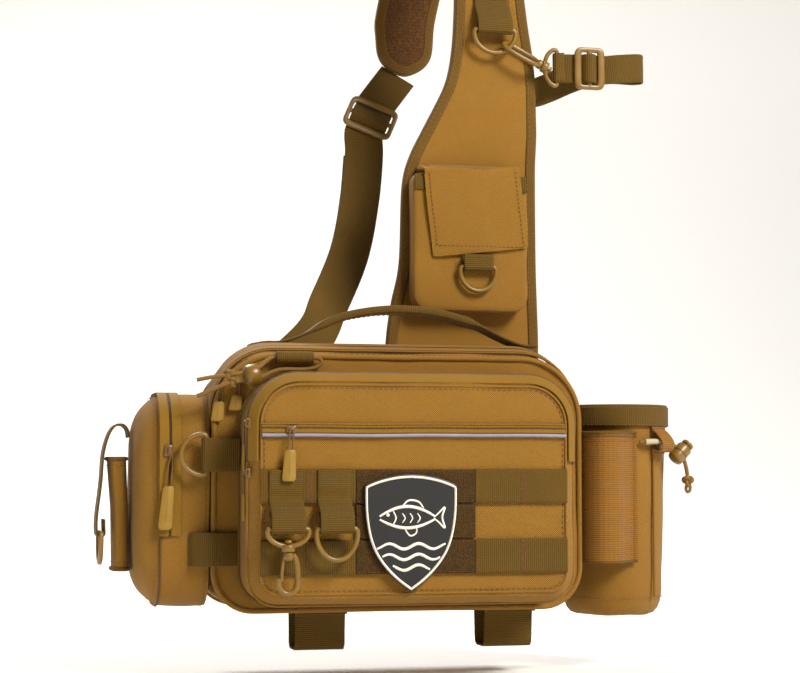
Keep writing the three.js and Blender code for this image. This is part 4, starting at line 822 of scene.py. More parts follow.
def ring_wire(name, path, body, node, radius=RING_WIRE, start=-BACK):
    """A moulded D-ring: round stock carried round its centre line."""
    return piece(name, [(tube(path, radius, 14, closed=True, start=start), "acetal")],
                 body, node)


def looped_tab(path, side, width, name, stands_for, rows=(), body="bag",
               finish="webbing", count=60):
    """A folded tab of webbing along a smooth path, with stitches across it at the given shares."""
    line = even(path, count)
    parts = [(band(line, side, width, 1.5), finish)]
    way = travel(line)
    out = unit(np.cross(np.broadcast_to(side, line.shape), way))
    for share, face in rows:
        k = int(round(share * (count - 1)))
        ends = np.linspace(-width / 2 + 1.6, width / 2 - 1.6, 12)[:, None] * np.asarray(side, float)
        parts.append((stitched(line[k] + ends + out[k] * face * 0.78, out[k] * face, 2.6, 0.75, 0.7,
                               0.0), "thread"))
    return piece(name, parts, body, stands_for)


def build_front_fittings():
    """Two tabs on the upper row: a D-ring on one, a swivel snap hook on the other."""
    right, down, out = RIGHT, -UP, -BACK
    bar_y, bar_z = -112.3, 66.0
    front = -103.0
    for name, x, node in (("hook_strap", -94.5, "hook_tab"), ("ring_strap", -60.0, "ring_tab")):
        arc = fold_arc(np.array([x, bar_y, bar_z]), out, down)
        path = np.vstack([[(x, front, 107.0), (x, front, 96.0), (x, front - 0.1, 86.0),
                           (x, bar_y - FOLD_RADIUS + 1.8, 77.0), (x, bar_y - FOLD_RADIUS, 70.5)], arc,
                          [(x, bar_y + FOLD_RADIUS, 70.5), (x, front - 1.4, 77.0)]])
        looped_tab(path, right, TAB_WIDTH, name, node, [(0.44, -1)])
    ring = ring_path((-60.0, bar_y, bar_z), right, down, 22.0, RING_HALF)
    ring_wire("front_ring_wire", ring, "front_ring", "front_d_ring")
    eye = ring_path((-94.5, bar_y, bar_z), right, down, 12.0, RING_HALF)
    centre = np.array([-94.5, bar_y, 0.0])
    collar = [(1.8, 50.1), (4.2, 50.1), (4.7, 50.6), (4.7, 54.4), (4.1, 55.0), (1.8, 55.0), (1.8, 50.12)]
    piece("eye_wire", [(tube(eye, 1.8, 14, closed=True, start=out), "acetal"),
                       (turned(collar, centre, (0, 0, 1), 28), "acetal")], "eye",
          "hook_eye")
    # The snap hook: a straight shank down one side, a round foot and a short tip that the gate meets.
    line = np.array([(3.2, 1.4), (5.2, -2), (6.2, -7), (6.6, -13), (6.5, -18.7),
                     (5.1, -23.1), (1.9, -25.6), (-1.7, -25.8), (-4.9, -23.6), (-6.6, -19.6),
                     (-6.8, -15.3)])
    line = even(table(-94.5 + line[:, 0], bar_y, 47.0 + line[:, 1]), 90)
    thick = 1.95 + 0.25 * np.sin(np.linspace(0, 1, 90) * np.pi)
    gate = np.array([(-2.6, 0.8), (-3.6, -3.5), (-4.1, -8), (-4.5, -12), (-4.8, -17.6)])
    gate = even(table(-94.5 + gate[:, 0], bar_y, 47.0 + gate[:, 1]), 40)
    shank = [(0.01, 44.0), (2.6, 44.0), (3.7, 44.8), (3.9, 47.4), (3.4, 49.4), (1.5, 49.6),
             (1.5, 56.2), (2.7, 56.3), (2.7, 57.9), (2.2, 58.3), (0.01, 58.3)]
    piece("snap_hook_body",
          [(tube(line, thick, 14, start=out), "acetal"), (tube(gate, 1.2, 12, start=out), "acetal"),
                             (turned(shank, centre, (0, 0, 1), 28), "acetal")], "hook",
          "swivel_hook")


def zip_pull(top, way, across, length, wide=9.4):
    """A wire link, then a rubber tab: a flat bar of superellipse outline, with a rib along each face."""
    top, way, across = np.asarray(top, float), unit(way), unit(across)
    out = np.cross(across, way)
    link = np.vstack([top + way * 0.2 + across * 0.2, top + way * length * 0.16 + across * 1.5,
                      top + way * length * 0.44 + across * 1.4, top + way * length * 0.5,
                      top + way * length * 0.44 - across * 1.4, top + way * length * 0.16 - across * 1.5])
    parts = [(tube(even(link, 40, closed=True), 0.62, 8, closed=True, start=out), "slider")]
    t = np.linspace(0, 1, 26)
    breadth = wide * (1 - np.abs(2 * t - 1) ** 14 * 0.3) * (0.84 + 0.22 * t)
    body = top + way * (length * (0.42 + 0.58 * t))[:, None]
    section = flat_section(1, 1, 7)
    height = 2.2 * (1 - np.abs(2 * t - 1) ** 12 * 0.4)
    grid = (body[:, None] + across * section[None, :, :1] * breadth[:, None, None]
            + out * section[None, :, 1:] * height[:, None, None])
    parts.append((shape(grid), "rubber"))
    line = np.linspace(0.3, 0.84, 20)[:, None] * way * length * 0.58 + top + way * length * 0.42
    for face in (1.05, -1.05):
        parts.append((tube(line + out * face, 0.5 * np.sin(np.linspace(0.1, 0.9, 20) * np.pi), 6,
                           start=across),
                      "rubber"))
    return parts


def zip_slider(centre, way, out, size=1.0):
    """A zip slider: a domed body of rounded outline, with the bridge that its pull hangs from."""
    centre, way, out = np.asarray(centre, float), unit(way), unit(out)
    across = np.cross(way, out)
    t = np.linspace(-1, 1, 15)
    breadth = (3.4 + 1.0 * np.clip(t, 0, 1)) * np.sqrt(np.clip(1 - np.abs(t) ** 6, 0.02, 1)) * size
    height = 1.5 * np.sqrt(np.clip(1 - np.abs(t) ** 4, 0.02, 1)) * size
    wide, tall = squared(np.linspace(0, 2 * np.pi, 14, endpoint=False)[None, :, None], 0.6)
    grid = ((centre + way * (t * 5.2 * size)[:, None])[:, None]
            + across * wide * breadth[:, None, None] + out * tall * height[:, None, None])
    arch = np.stack([centre + way * a * size + out * b * size
                     for a, b in ((-3.2, 1.0), (-2.6, 2.4), (0.0, 3.1), (2.6, 2.4), (3.2, 1.0))])
    return [(shape(grid), "slider"), (tube(even(arch, 18), 0.6 * size, 8, start=across), "slider")]


def build_zip_pulls():
    """The zips' rubber pulls, and the sliders of the panel's, the rim's and the pouch's zip."""
    right, down, out = RIGHT, -UP, -BACK
    parts = zip_slider((-91.0, -102.6, 135.6), right, out, 0.72)
    parts += zip_pull((-91.0, -104.2, 137.0), (-0.06, -0.05, -1), right, 38)
    piece("panel_zip_pull", parts, stands_for="front_panel_pull")
    for name, z, node in (("pocket_pull_upper", 139.0, "front_pocket_pull_upper"),
                          ("pocket_pull_lower", 104.0, "front_pocket_pull_lower")):
        parts = zip_slider((-120.4, -94.2, z + 1), down, (-1, -0.5, 0), 0.7)
        parts += zip_pull((-122.3, -86.0, z), down, out, 33, 8.6)
        parts.append((tube(even([(-121.0, -93.4, z + 1), (-122.6, -91.0, z + 2.4),
                                 (-122.5, -86.6, z - 0.6)], 14), 0.7, 8),
                      "slider"))
        piece(name, parts, stands_for=node)
    for name, x, z, length, node in (("main_pull_short", -134.0, 167.0, 25.0, "main_pull_left"),
                                     ("main_pull_long", -121.5, 170.0, 20.0, "main_pull_right")):
        parts = zip_pull((x, -52.2, z), (-0.12, 0, -1), right, length, 8.8)
        piece(name, parts, stands_for=node)
    parts = zip_pull((-169.5, -50.0, 118.0), (-0.08, -0.02, -1), right, 54, 9.6)
    parts += zip_slider((-171.2, -48.2, 121.0), down, out, 0.9)
    piece("pouch_zip_pull", parts, stands_for="side_pouch_pull")


# The side pouch, the sheath and the bottle pocket

def pouch_outline(size, inset, count=200):
    """The side pouch's outline in Y and Z, drawn in by a share towards its middle."""
    half = POUCH_HALF * size - inset
    height = POUCH_HEIGHT * size - 2 * inset
    foot = POUCH_FOOT + POUCH_HEIGHT * (1 - size) / 2 + inset
    radius = 34 * size - inset
    return rounded(half, foot, foot + height, radius, radius, count)


def pouch_ring(x, size, inset=0.0, count=200):
    """That outline stood up at one distance from the main compartment."""
    line = pouch_outline(size, inset, count)
    return table(x, line[:, 0], line[:, 1])


def build_side_pouch(crease):
    """Rows of the pouch's outline from the compartment's side outwards, closing over its domed panel."""
    start = -140.3
    rows = [(0.0, 0.01), (0.0, 0.6), (0.0, 0.97),
            (0.6, 1.0)] + [(x, 1.0 + 0.012 * math.sin(x / 34 * math.pi))
                                                                  for x in np.linspace(2, 34, 14)]
    rows += [(36.4, 0.995), (38.4, 0.975), (41.5, 0.945), (44.5, 0.91), (47.2, 0.872),
             (49.8, 0.82), (51.8, 0.76), (53.3, 0.69), (54.2, 0.6), (54.6, 0.4),
             (54.7, 0.2), (54.7, 0.01)]
    grid = np.stack([pouch_ring(start - x, max(size, 0.012) * 0.995) for x, size in rows])
    grid = rumpled(grid, crease, 30, 21)
    parts = [(shape(grid), "oxford")]
    middle = np.array([0.0, 0.0, 85.0])
    parts.append((tube(pouch_ring(start - 36.2, 0.995, 0.2), 0.8, 8, closed=True), "dark_thread"))
    for x, size, inset in ((-40.0, 0.965, -0.2), (-3.6, 1.0, -0.15)):
        ring = pouch_ring(start + x, size, inset)
        away = unit(ring - middle - np.array([start + x, 0, 0]) * [1, 0, 0])
        away = unit(away + ([-0.8, 0, 0] if x < -20 else [0, 0, 0]))
        parts.append((stitched(ring, away, 3.9, 0.68, 0.65, 0.0, closed=True), "thread"))
    piece("side_pouch_cloth", parts, stands_for="side_pouch")
    # The zip: two bands of tape with the coil between, round the roof and down the front and back, over a
    # dark strip that is painted shade in the gap between the tapes.
    line, normal = upper_course(pouch_outline(1.0, 0.0, 240), 60)
    path = table(-169.7, line[:, 0], line[:, 1])
    away = unit(table(0.0, normal[:, 0], normal[:, 1]))
    across = np.array([1.0, 0.0, 0.0])
    parts = []
    for place in (-4.4, 4.4):
        parts.append((band(path + across * place + away * 1.0, across, 7.2, 1.0, lanes=6), "tape"))
    parts.append((band(path + away * 0.55, across, 4.0, 0.7, lanes=5), "zip_slot_shade"))
    parts.append((toothed(path + away * 0.9, away, 1.3, 1.9), "coil"))
    piece("side_pouch_zip_tapes", parts, stands_for="side_pouch_zip")


def build_side_fittings():
    """The ring tab and the keeper that cross from the pocket to the pouch, and the ring on its end."""
    up, left, out = UP, -RIGHT, -BACK
    bar = np.array([-145.0, -55.2, 118.0])
    arc = fold_arc(bar, out, left)
    path = np.vstack([[(-121.0, -58.1, 118.0), (-132.0, -58.3, 118.0)], arc, [(-136.0, -52.5, 118.0),
                                                                             (-127.0, -52.4, 118.0)]])
    looped_tab(path, up, TAB_WIDTH, "side_ring_strap", "side_ring_tab",
               [(0.04, -1), (0.3, -1)])
    ring_wire("side_ring_wire", ring_path(bar, up, left, 18.0, RING_HALF), "side_ring",
              "side_d_ring", 1.9)
    path = [(-155.5, -47.2, 50), (-152, -51.0, 50), (-145, -53.3, 50), (-134, -53.7, 50),
            (-127, -52.8, 50), (-121.0, -51.4, 50)]
    looped_tab(path, up, TAB_WIDTH, "side_keeper_strap", "side_keeper",
               [(0.08, 1), (0.12, 1), (0.93, 1)])


def build_sheath():
    """A flattened sleeve open at both ends, its hems, and the retention strap with its ring."""
    heights = np.linspace(34.6, 115.4, 26)
    share = (heights - SHEATH_FOOT) / SHEATH_HEIGHT
    lean = np.interp(share, [0, 0.55, 1], [0, 0.25, 1])
    middle = -195.6 - 6.0 - lean * 9 * 0.35
    half = 6.0 + lean
    turn = np.linspace(0, 2 * np.pi, 64, endpoint=False)

    def ring(scale, index):
        x = middle[index] + half[index] * scale[1] * np.sign(np.cos(turn)) * np.abs(np.cos(turn)) ** 0.55
        y = 17 * scale[0] * np.sign(np.sin(turn)) * np.abs(np.sin(turn)) ** 0.62
        return table(x, y, heights[index])

    outer = np.stack([ring((0.985, 0.97), k) for k in range(26)])
    inner = np.stack([ring((0.9, 0.72), k) for k in range(25, -1, -1)])
    grid = np.concatenate([outer, inner])
    parts = [(shape(grid, rows_closed=True), "oxford")]
    for k in (25, 0):
        line = ring((1.0, 1.0), k)
        parts.append((tube(line, 1.5, 8, closed=True), "binding"))
        shift = np.array([0, 0, -5.0 if k else 5.0])
        away = unit(line - [middle[k], 0, heights[k]])
        parts.append((stitched(line + shift, away, 3.6, 0.7, 0.6, 0.05, closed=True), "thread"))
    piece("sheath_sleeve", parts, stands_for="tool_sheath")
    side = np.array([0.0, 1.0, 0.0])
    offs = np.array([(0, 1.183), (0.06, 1.256), (0.25, 1.299), (0.55, 1.28), (0.775, 1.183),
                     (0.93, 1.024), (1, 0.78), (1.03, 0.537)])
    path = table(-196.4 - offs[:, 0] * 20, -2.0, SHEATH_FOOT + offs[:, 1] * SHEATH_HEIGHT)
    bar = np.array([-216.4, -2.0, 61.06])
    arc = fold_arc(bar, -RIGHT, -UP)
    path = np.vstack([path[:-1], [(-219.3, -2.0, 72)], arc, [(-213.9, -2.0, 66), (-213.9, -2.0, 71)]])
    looped_tab(path, side, TAB_WIDTH, "sheath_strap", "sheath_tab",
               [(0.03, 1), (0.12, 1), (0.74, 1)], count=90)
    ring = ring_path(bar, side, -UP, 22.0, RING_HALF)
    ring_wire("sheath_ring_wire", ring, "sheath_ring", "sheath_d_ring", start=RIGHT)


def cup_ring(radius, z, count=120):
    """One level of the bottle pocket: a circle that narrows by a share towards the foot, while its
    side by the compartment stays upright."""
    turn = np.linspace(0, 2 * np.pi, count, endpoint=False)
    taper = 0.055 * np.clip((150 - z) / 150, 0, 1)
    radius = radius * (1 - taper)
    shift = -taper * BOTTLE_RADIUS
    return table(BOTTLE_X + shift + radius * np.cos(turn), radius * np.sin(turn), z)


def build_bottle_pocket(crease):
    """A turned cup, outside then inside, and the webbing hem round its mouth."""
    outer = [(1.0, -4.9), (18, -4.9), (29.5, -4.7), (34.5, -3.0), (37.6, 0.6), (39.4, 5),
             (40.4, 10), (40.9, 15)]
    outer += [(40.95 - 0.5 * math.sin((z - 15) / 141 * math.pi), z) for z in np.linspace(19, 155.6, 34)]
    inner = [(39.2, 155.8)] + [(39.1, z) for z in np.linspace(150, 17, 14)] + [(36.0, 4), (29, -2.9),
                                                                               (12, -3.0), (1.0, -3.0)]
    grid = np.stack([cup_ring(r, z) for r, z in outer])
    grid = rumpled(grid, crease, 34, 5)
    grid = np.concatenate([grid, np.stack([cup_ring(r, z) for r, z in inner])])
    parts = [(shape(grid), "oxford")]
    ring = cup_ring(41.0, 9.5)
    parts.append((stitched(ring, unit(ring - [BOTTLE_X, 0, 9.5]), 4.0, 0.68, 0.65, -0.15,
                           closed=True), "thread"))
    seam = table(BOTTLE_X + 41.0 * math.cos(-1.05), 41.0 * math.sin(-1.05), np.linspace(10, 140, 60))
    away = np.array([math.cos(-1.05), math.sin(-1.05), 0.0])
    parts.append((tube(seam - away * 0.5, 1.1, 8), "oxford"))
    piece("bottle_pocket_cup", parts, stands_for="bottle_pocket")
    ring = cup_ring(HEM_RADIUS, 148.3)
    parts = [(band(ring, (0.0, 0.0, 1.0), 15.4, 1.7, closed=True, lanes=9), "webbing")]
    for z in (155.0, 141.8):
        line = cup_ring(43.0, z)
        parts.append((stitched(line, unit(line - [BOTTLE_X, 0, z]), 3.6, 0.66, 0.7, 0.0,
                               closed=True), "thread"))
    parts.append((tube(cup_ring(41.0, 156.4), 1.15, 8, closed=True), "binding"))
    piece("bottle_pocket_hem", parts, stands_for="bottle_hem")


def build_rod_sleeve(bow):
    """A tall elastic band: from the compartment's side, out in a bow, and flat onto the bottle pocket."""
    reach = BOTTLE_X + math.cos(-0.52 * math.pi) * HEM_RADIUS
    landing = math.sin(-0.52 * math.pi) * HEM_RADIUS
    shares = np.array([(0, -0.45), (0.01, 0.05), (0.08, 0.55), (0.25, 0.92), (0.45, 1.0),
                       (0.66, 0.85), (0.85, 0.4)])
    path = table(141.1 + shares[:, 0] * (reach - 141.1), landing - shares[:, 1] * bow, 87.0)
    turn = np.array([-0.5, -0.485, -0.47]) * math.pi
    path = np.vstack([path, table(BOTTLE_X + np.cos(turn) * 42.2, np.sin(turn) * 42.2, 87.0)])
    line = even(path, 70)
    up = np.array([0.0, 0.0, 1.0])
    parts = [(band(line, up, 99.0, 1.5, lanes=46, turned_weave=True), "elastic")]
    way = travel(line)
    away = unit(np.cross(up, way))
    away = away * np.sign((away[35] * [0, -1, 0]).sum())
    for z, thick in ((48.2, 1.25), (45.4, 0.9)):
        parts.append((tube(line + up * z + away * 0.2, thick, 8, start=up), "binding"))
        parts.append((stitched(line + up * (z - 3.2) + away * 0.8, away, 3.2, 0.7, 0.6, 0.0), "thread"))
    parts.append((tube(line - up * 49.0, 1.2, 8, start=up), "binding"))
    edge = line[-6] + up * np.linspace(-47, 47, 40)[:, None]
    for shift in (-1.4, 1.4):
        parts.append((stitched(edge + way[-6] * shift + away[-6] * 0.8, away[-6], 3.2, 0.7, 0.7,
                               0.0), "thread"))
    piece("rod_sleeve_elastic", parts, stands_for="rod_sleeve")


# Cords, loops and the carry handle

def knot(centre, size, radius, turn=0.0):
    """An overhand knot pulled tight: the trefoil line of sines and cosines of one, two and three turns."""
    t = np.linspace(0, 2 * np.pi, 90, endpoint=False) + turn
    line = np.stack([np.sin(t) + 2 * np.sin(2 * t), -1.3 * np.sin(3 * t),
                     np.cos(t) - 2 * np.cos(2 * t)], 1)
    return tube(np.asarray(centre, float) + line * size, radius, 10, closed=True)


DRAWCORD = [
    (189.8, -42.4, 128.4), (194, -42.8, 128.7), (198.6, -42.4, 129), (203.4, -41.2, 129),
    (208, -39.2, 128.8), (212.6, -36.6, 128.2), (216.8, -33.8, 127.4), (220.8, -31.5, 126.4),
    (224.6, -30.7, 124.4), (227.4, -30.5, 120.8), (229.6, -30.2, 116.8), (231.2, -29.8, 112.8),
    (232.3, -29.5, 109), (233, -29.3, 105.6), (233.4, -29.2, 102.8),
]
COMPRESS_CORD = [
    (-153, -62, 160), (-147, -62.4, 162.4), (-141, -62.6, 165), (-135, -62.8, 167.6), (-128, -62.8, 170),
    (-120, -62.6, 171.4), (-113, -62, 172.2), (-106, -60.4, 174), (-98, -58, 178), (-90, -56, 180.2),
    (-80, -54.6, 180.4), (-71, -53.6, 180.8), (-64, -53.4, 182.4), (-60.4, -53.8, 186),
    (-62.6, -54.4, 188.8), (-67, -54.7, 189), (-80.5, -54.7, 189), (-93, -54.7, 189), (-97.5, -55, 188.6),
    (-102, -56.6, 186), (-107, -60, 181.6), (-113, -62, 178.6), (-120, -62.6, 177), (-128, -62.8, 175.6),
    (-136, -62.8, 174.6), (-144, -62.6, 173.4), (-153, -62.2, 171.6),
]


def free_cord(name, route, node, body="bag"):
    """An elastic cord of 3 mm along its route. Its length is worked out but not stored."""
    line = even(route, 150)
    made = piece(name, [(tube(line, 1.5, 12), "cord")], body, node)
    placed = row_frame(line)
    length_of(placed)
    return made


def build_drawcord():
    """The bottle pocket's drawcord: its tunnel of webbing, the cord, its barrel lock and its end knot."""
    turn = -0.3 * math.pi
    away = np.array([math.cos(turn), math.sin(turn), 0.0])
    side = np.array([-away[1], away[0], 0.0])
    rows = np.array([(0, 15.5), (0, 13.5), (5, 9), (9, 3), (8, -2), (4, -3.5), (0, -2.5), (0, -5)])
    path = np.array([BOTTLE_X, 0, 125.0]) + away * (HEM_RADIUS
                                                    + rows[:, :1]) + np.array([0, 0, 1.0]) * rows[:, 1:]
    looped_tab(path, side, 16.6, "drawcord_tunnel", "drawcord_tab", [(0.06, -1)],
               finish="elastic")
    centre = np.array([227.4, -30.5, 120.8])
    axis = unit([0.72, 0.16, 0.68])
    profile = [(0.01, -8.4), (4.6, -8.4), (5.7, -7.8), (6.2, -6.4), (6.2, -2.6), (5.6, -2.2),
               (5.6, -1.2), (6.2, -0.8), (6.2, 4.2), (5.7, 5.6), (4.5, 6.0), (3.6, 6.1), (3.6, 7.4),
               (4.6, 7.6), (4.9, 8.4), (4.7, 9.8), (3.9, 10.1), (0.01, 10.1)]
    lock = piece("cord_lock_barrel", [(turned(profile, centre, axis, 28), "acetal")],
                 stands_for="cord_lock")
    end = np.array([233.8, -29.0, 98.8])
    loop = even([end + [0, 0, -2], end + [-1.6, 0, -5.4], end + [-0.6, 0, -8.4], end + [1.4, 0, -7.6],
                 end + [1.8, 0, -4.4], end + [0.6, 0, -1.6]], 40)
    tied = piece("drawcord_end_knot",
                 [(knot(end, 1.2, 1.5), "cord"), (tube(loop, 1.2, 10), "cord")],
                 stands_for="drawcord_knot")
    wrap = even(np.array(DRAWCORD[1:5]) + [0, -0.4, 0], 30)
    whip = piece("drawcord_whipping", [(tube(wrap, 2.15, 12), "whipping")])
    free_cord("drawcord_line", DRAWCORD, "drawcord")


def build_compression():
    """The seam sleeve, the elastic cord through it, its short barrel toggle and the knots behind it."""
    line = table(np.linspace(-94, -67, 40), -54.7, 189.0)
    outer = 4.6 + 0.15 * np.sin(np.linspace(0, 5 * np.pi, 40)) ** 2
    side = transported(line)
    out = np.cross(travel(line), side)
    turn = np.linspace(0, 2 * np.pi, 24, endpoint=False)[None, :, None]
    ring = np.cos(turn) * side[:, None] + np.sin(turn) * out[:, None]
    grid = np.concatenate([line[:, None] + ring * outer[:, None, None],
                           (line[:, None] + ring * 2.1)[::-1]])
    piece("seam_sleeve", [(shape(grid, rows_closed=True), "webbing")],
          stands_for="compress_tab")
    profile = [(0.01, -5.6), (5.2, -5.5), (7.2, -4.6), (8.1, -2.6), (8.2, 0), (8.1, 2.6),
               (7.2, 4.6), (5.6, 5.5), (5.0, 5.1), (0.01, 5.1)]
    toggle = piece("toggle_ball",
                   [(turned(profile, (-113, -62, 175.4), (1, 0.17, 0.25), 32), "acetal")],
                   stands_for="compress_toggle")
    parts = [(knot((-126.5, -62.8, 170.6), 1.05, 1.45, 0.4), "cord"),
             (knot((-129.5, -62.6, 176.2), 1.0, 1.45, 1.3), "cord")]
    tied = piece("cord_knots", parts)
    free_cord("compress_cord_lower", COMPRESS_CORD[15::-1], "compress_cord")
    free_cord("compress_cord_upper", COMPRESS_CORD[17:], "compress_cord")


def build_loops():
    """Two webbing loops under the bag, sewn flat at both ends, and the padded carry handle."""
    right = RIGHT
    shares = np.array([(-0.78, 0), (-0.62, 0.0), (-0.5, 0.06), (-0.46, 0.5), (-0.43, 0.84),
                       (-0.32, 1.0), (0, 1.01), (0.32, 1.0), (0.43, 0.84), (0.46, 0.5), (0.5, 0.06),
                       (0.62, 0.0), (0.78, 0)])
    for side, x in (("left", -58.0), ("right", 85.5)):
        path = table(x, -24 + shares[:, 0] * 30, 2.7 - shares[:, 1] * 26.7)
        looped_tab(path, right, 37.4, f"bottom_loop_webbing_{side}", f"bottom_loop_{side}",
                   [(0.05, 1), (0.09, 1), (0.91, 1), (0.95, 1)], count=110)
    shares = np.array([(-0.55, -0.19), (-0.5, -0.11), (-0.44, -0.08), (-0.36, 0.16), (-0.24, 0.68),
                       (-0.12, 0.93), (0, 1), (0.13, 0.9), (0.26, 0.6), (0.37, 0.15), (0.44, -0.08),
                       (0.5, -0.12)])
    path = table(shares[:, 0] * 212 + 10, -6.0, 205.3 + shares[:, 1] * 24)
    line = even(path, 120)
    t = np.linspace(0, 1, 120)
    grip = np.clip((t - 0.2) / 0.05, 0, 1) * np.clip((0.8 - t) / 0.05, 0, 1)
    section = flat_section(23.6, 2.0, 9)
    out = np.cross(np.broadcast_to([0.0, 1.0, 0.0], line.shape), travel(line))
    swell = 1 + 1.9 * grip
    grid = (line[:, None] + np.array([0.0, 1.0, 0.0]) * section[None, :, :1]
            + out[:, None] * section[None, :, 1:] * swell[:, None, None])
    parts = [(shape(grid), "webbing")]
    for edge in (-9.6, 9.6):
        row = line + np.array([0, edge, 0]) + out * (1.05 * swell)[:, None]
        parts.append((stitched(row, out, 3.8, 0.66, 0.65, 0.0), "thread"))
    for k in (6, 14, 104, 112):
        ends = line[k] + np.linspace(-10, 10, 12)[:, None] * [0, 1, 0] + out[k] * 1.05
        parts.append((stitched(ends, out[k], 2.6, 0.75, 0.7, 0.0), "thread"))
    piece("carry_handle_webbing", parts, stands_for="carry_handle")


# The sling strap

PAD_SEAT, PAD_LEAN, PAD_ARCH = 54.8, 8.0, 137.0


def pad_stations():
    """The pad's middle line and its width: up the front, over the shoulder, down to its round tail."""
    front = np.array([
        (0, 0.98, -0.43), (0.12, 1, -0.43), (0.22, 0.96, -0.4), (0.32, 0.9, -0.35), (0.5, 0.88, -0.33),
        (0.57, 0.84, -0.28), (0.64, 0.76, -0.17), (0.7, 0.675, -0.08), (0.76, 0.6, 0),
        (0.83, 0.545, 0.03), (0.91, 0.495, 0.02), (1, 0.46, 0)])
    rise, width, shift = front.T
    run = np.stack([100 + shift * 58, PAD_SEAT + PAD_LEAN * rise ** 3, 165 + rise * 335, width * 126], 1)
    share = np.arange(1, 15) / 14
    turn = np.pi * share
    over = np.stack([100 - 39 * share, PAD_SEAT + PAD_LEAN + PAD_ARCH * (1 - np.cos(turn)) / 2,
                     500 + 75 * np.sin(turn), 58 * (1 - 0.08 * share)], 1)
    fall = np.array([(0.25, 0.89), (0.5, 0.87), (0.72, 0.8), (0.88, 0.6), (1, 0.28)])
    tail = table(61.0, PAD_SEAT + PAD_LEAN + PAD_ARCH, 500 - fall[:, 0] * 41, fall[:, 1] * 58)
    return np.vstack([run, over, tail])


def pad_frame(stations):
    """The direction out of the pad's face at each station, square to its run."""
    way = travel(stations[:, :3])
    flat = unit(np.stack([0 * way[:, 0], way[:, 1], way[:, 2]], 1))
    return np.cross(RIGHT, flat)


def build_pad(plump):
    """A foam pad: across it, thickness follows the square root of one less the place to the fourth.
    Its outer face is cloth, its worn face mesh, and a folded tape binds its edge."""
    line = even(pad_stations(), 240)
    out = pad_frame(line)
    half = line[:, 3] / 2 - 1.6
    a = np.sin(np.linspace(-1, 1, 37) * np.pi / 2)
    high = 2.4 + (4.3 - 2.4) * (1 - a ** 4) ** 0.5
    dimple = 0.35 * rippled(line[:, :3], 60, 9)[:, None] * (1 - a ** 4)
    right = RIGHT
    flat = line[:, None, :3] + right * (half[:, None] * a)[..., None]
    face = flat + out[:, None] * (high - 0.5 + dimple)[..., None]
    back = flat - out[:, None] * (high - 0.5 - dimple)[..., None]
    parts = [(shape(np.concatenate([surface, flat[:, ::-1]], 1)), finish)
             for surface, finish in ((face, "oxford"), (back, "mesh"))]
    pad = piece("shoulder_pad_foam", parts, stands_for="shoulder_pad")
    edge = []
    for sign in (-1, 1):
        side = line[:, :3] + right * (sign * (line[:, 3] / 2 - 4.6))[:, None]
        edge.append(np.hstack([side, out]) if sign < 0 else np.hstack([side, out])[::-1])
    tail_end = np.hstack([line[-1:, :3] + [[0, 0, -1.0]], out[-1:]])
    foot = np.linspace(-1, 1, 12)[1:-1][:, None]
    foot_line = np.hstack([line[0, :3] + right * -foot * (line[0, 3] / 2 - 7.0) + [0, 0, 2.2],
                           np.repeat(out[:1], 10, 0)])
    path = np.vstack([edge[0][2:-1], tail_end, edge[1][1:-2], foot_line])
    path = spaced(np.vstack([path, path[:1]]), 620, closed=True)
    for _ in range(3):
        path = (np.roll(path, 1, 0) + 2 * path + np.roll(path, -1, 0)) / 4
    way = travel(path[:, :3], closed=True)
    away = unit(path[:, 3:] - way * (path[:, 3:] * way).sum(1, keepdims=True))
    side = np.cross(way, away)
    turn = np.linspace(0, 2 * np.pi, 20, endpoint=False)
    wide, tall = squared(turn, 0.5)
    grid = (path[:, None, :3] + side[:, None] * (4.7 * wide)[None, :, None]
            + away[:, None] * (4.25 * tall)[None, :, None])
    parts = [(shape(grid, rows_closed=True, turn_uv=True), "binding")]
    for face_sign in (1, -1):
        for place in (-2.4, 2.4):
            row = path[:, :3] + side * place + away * face_sign * 4.2
            parts.append((stitched(row, away * face_sign, 4.0, 0.66, 0.75, 0.0, closed=True), "thread"))
    piece("pad_edge_binding", parts, stands_for="pad_binding")


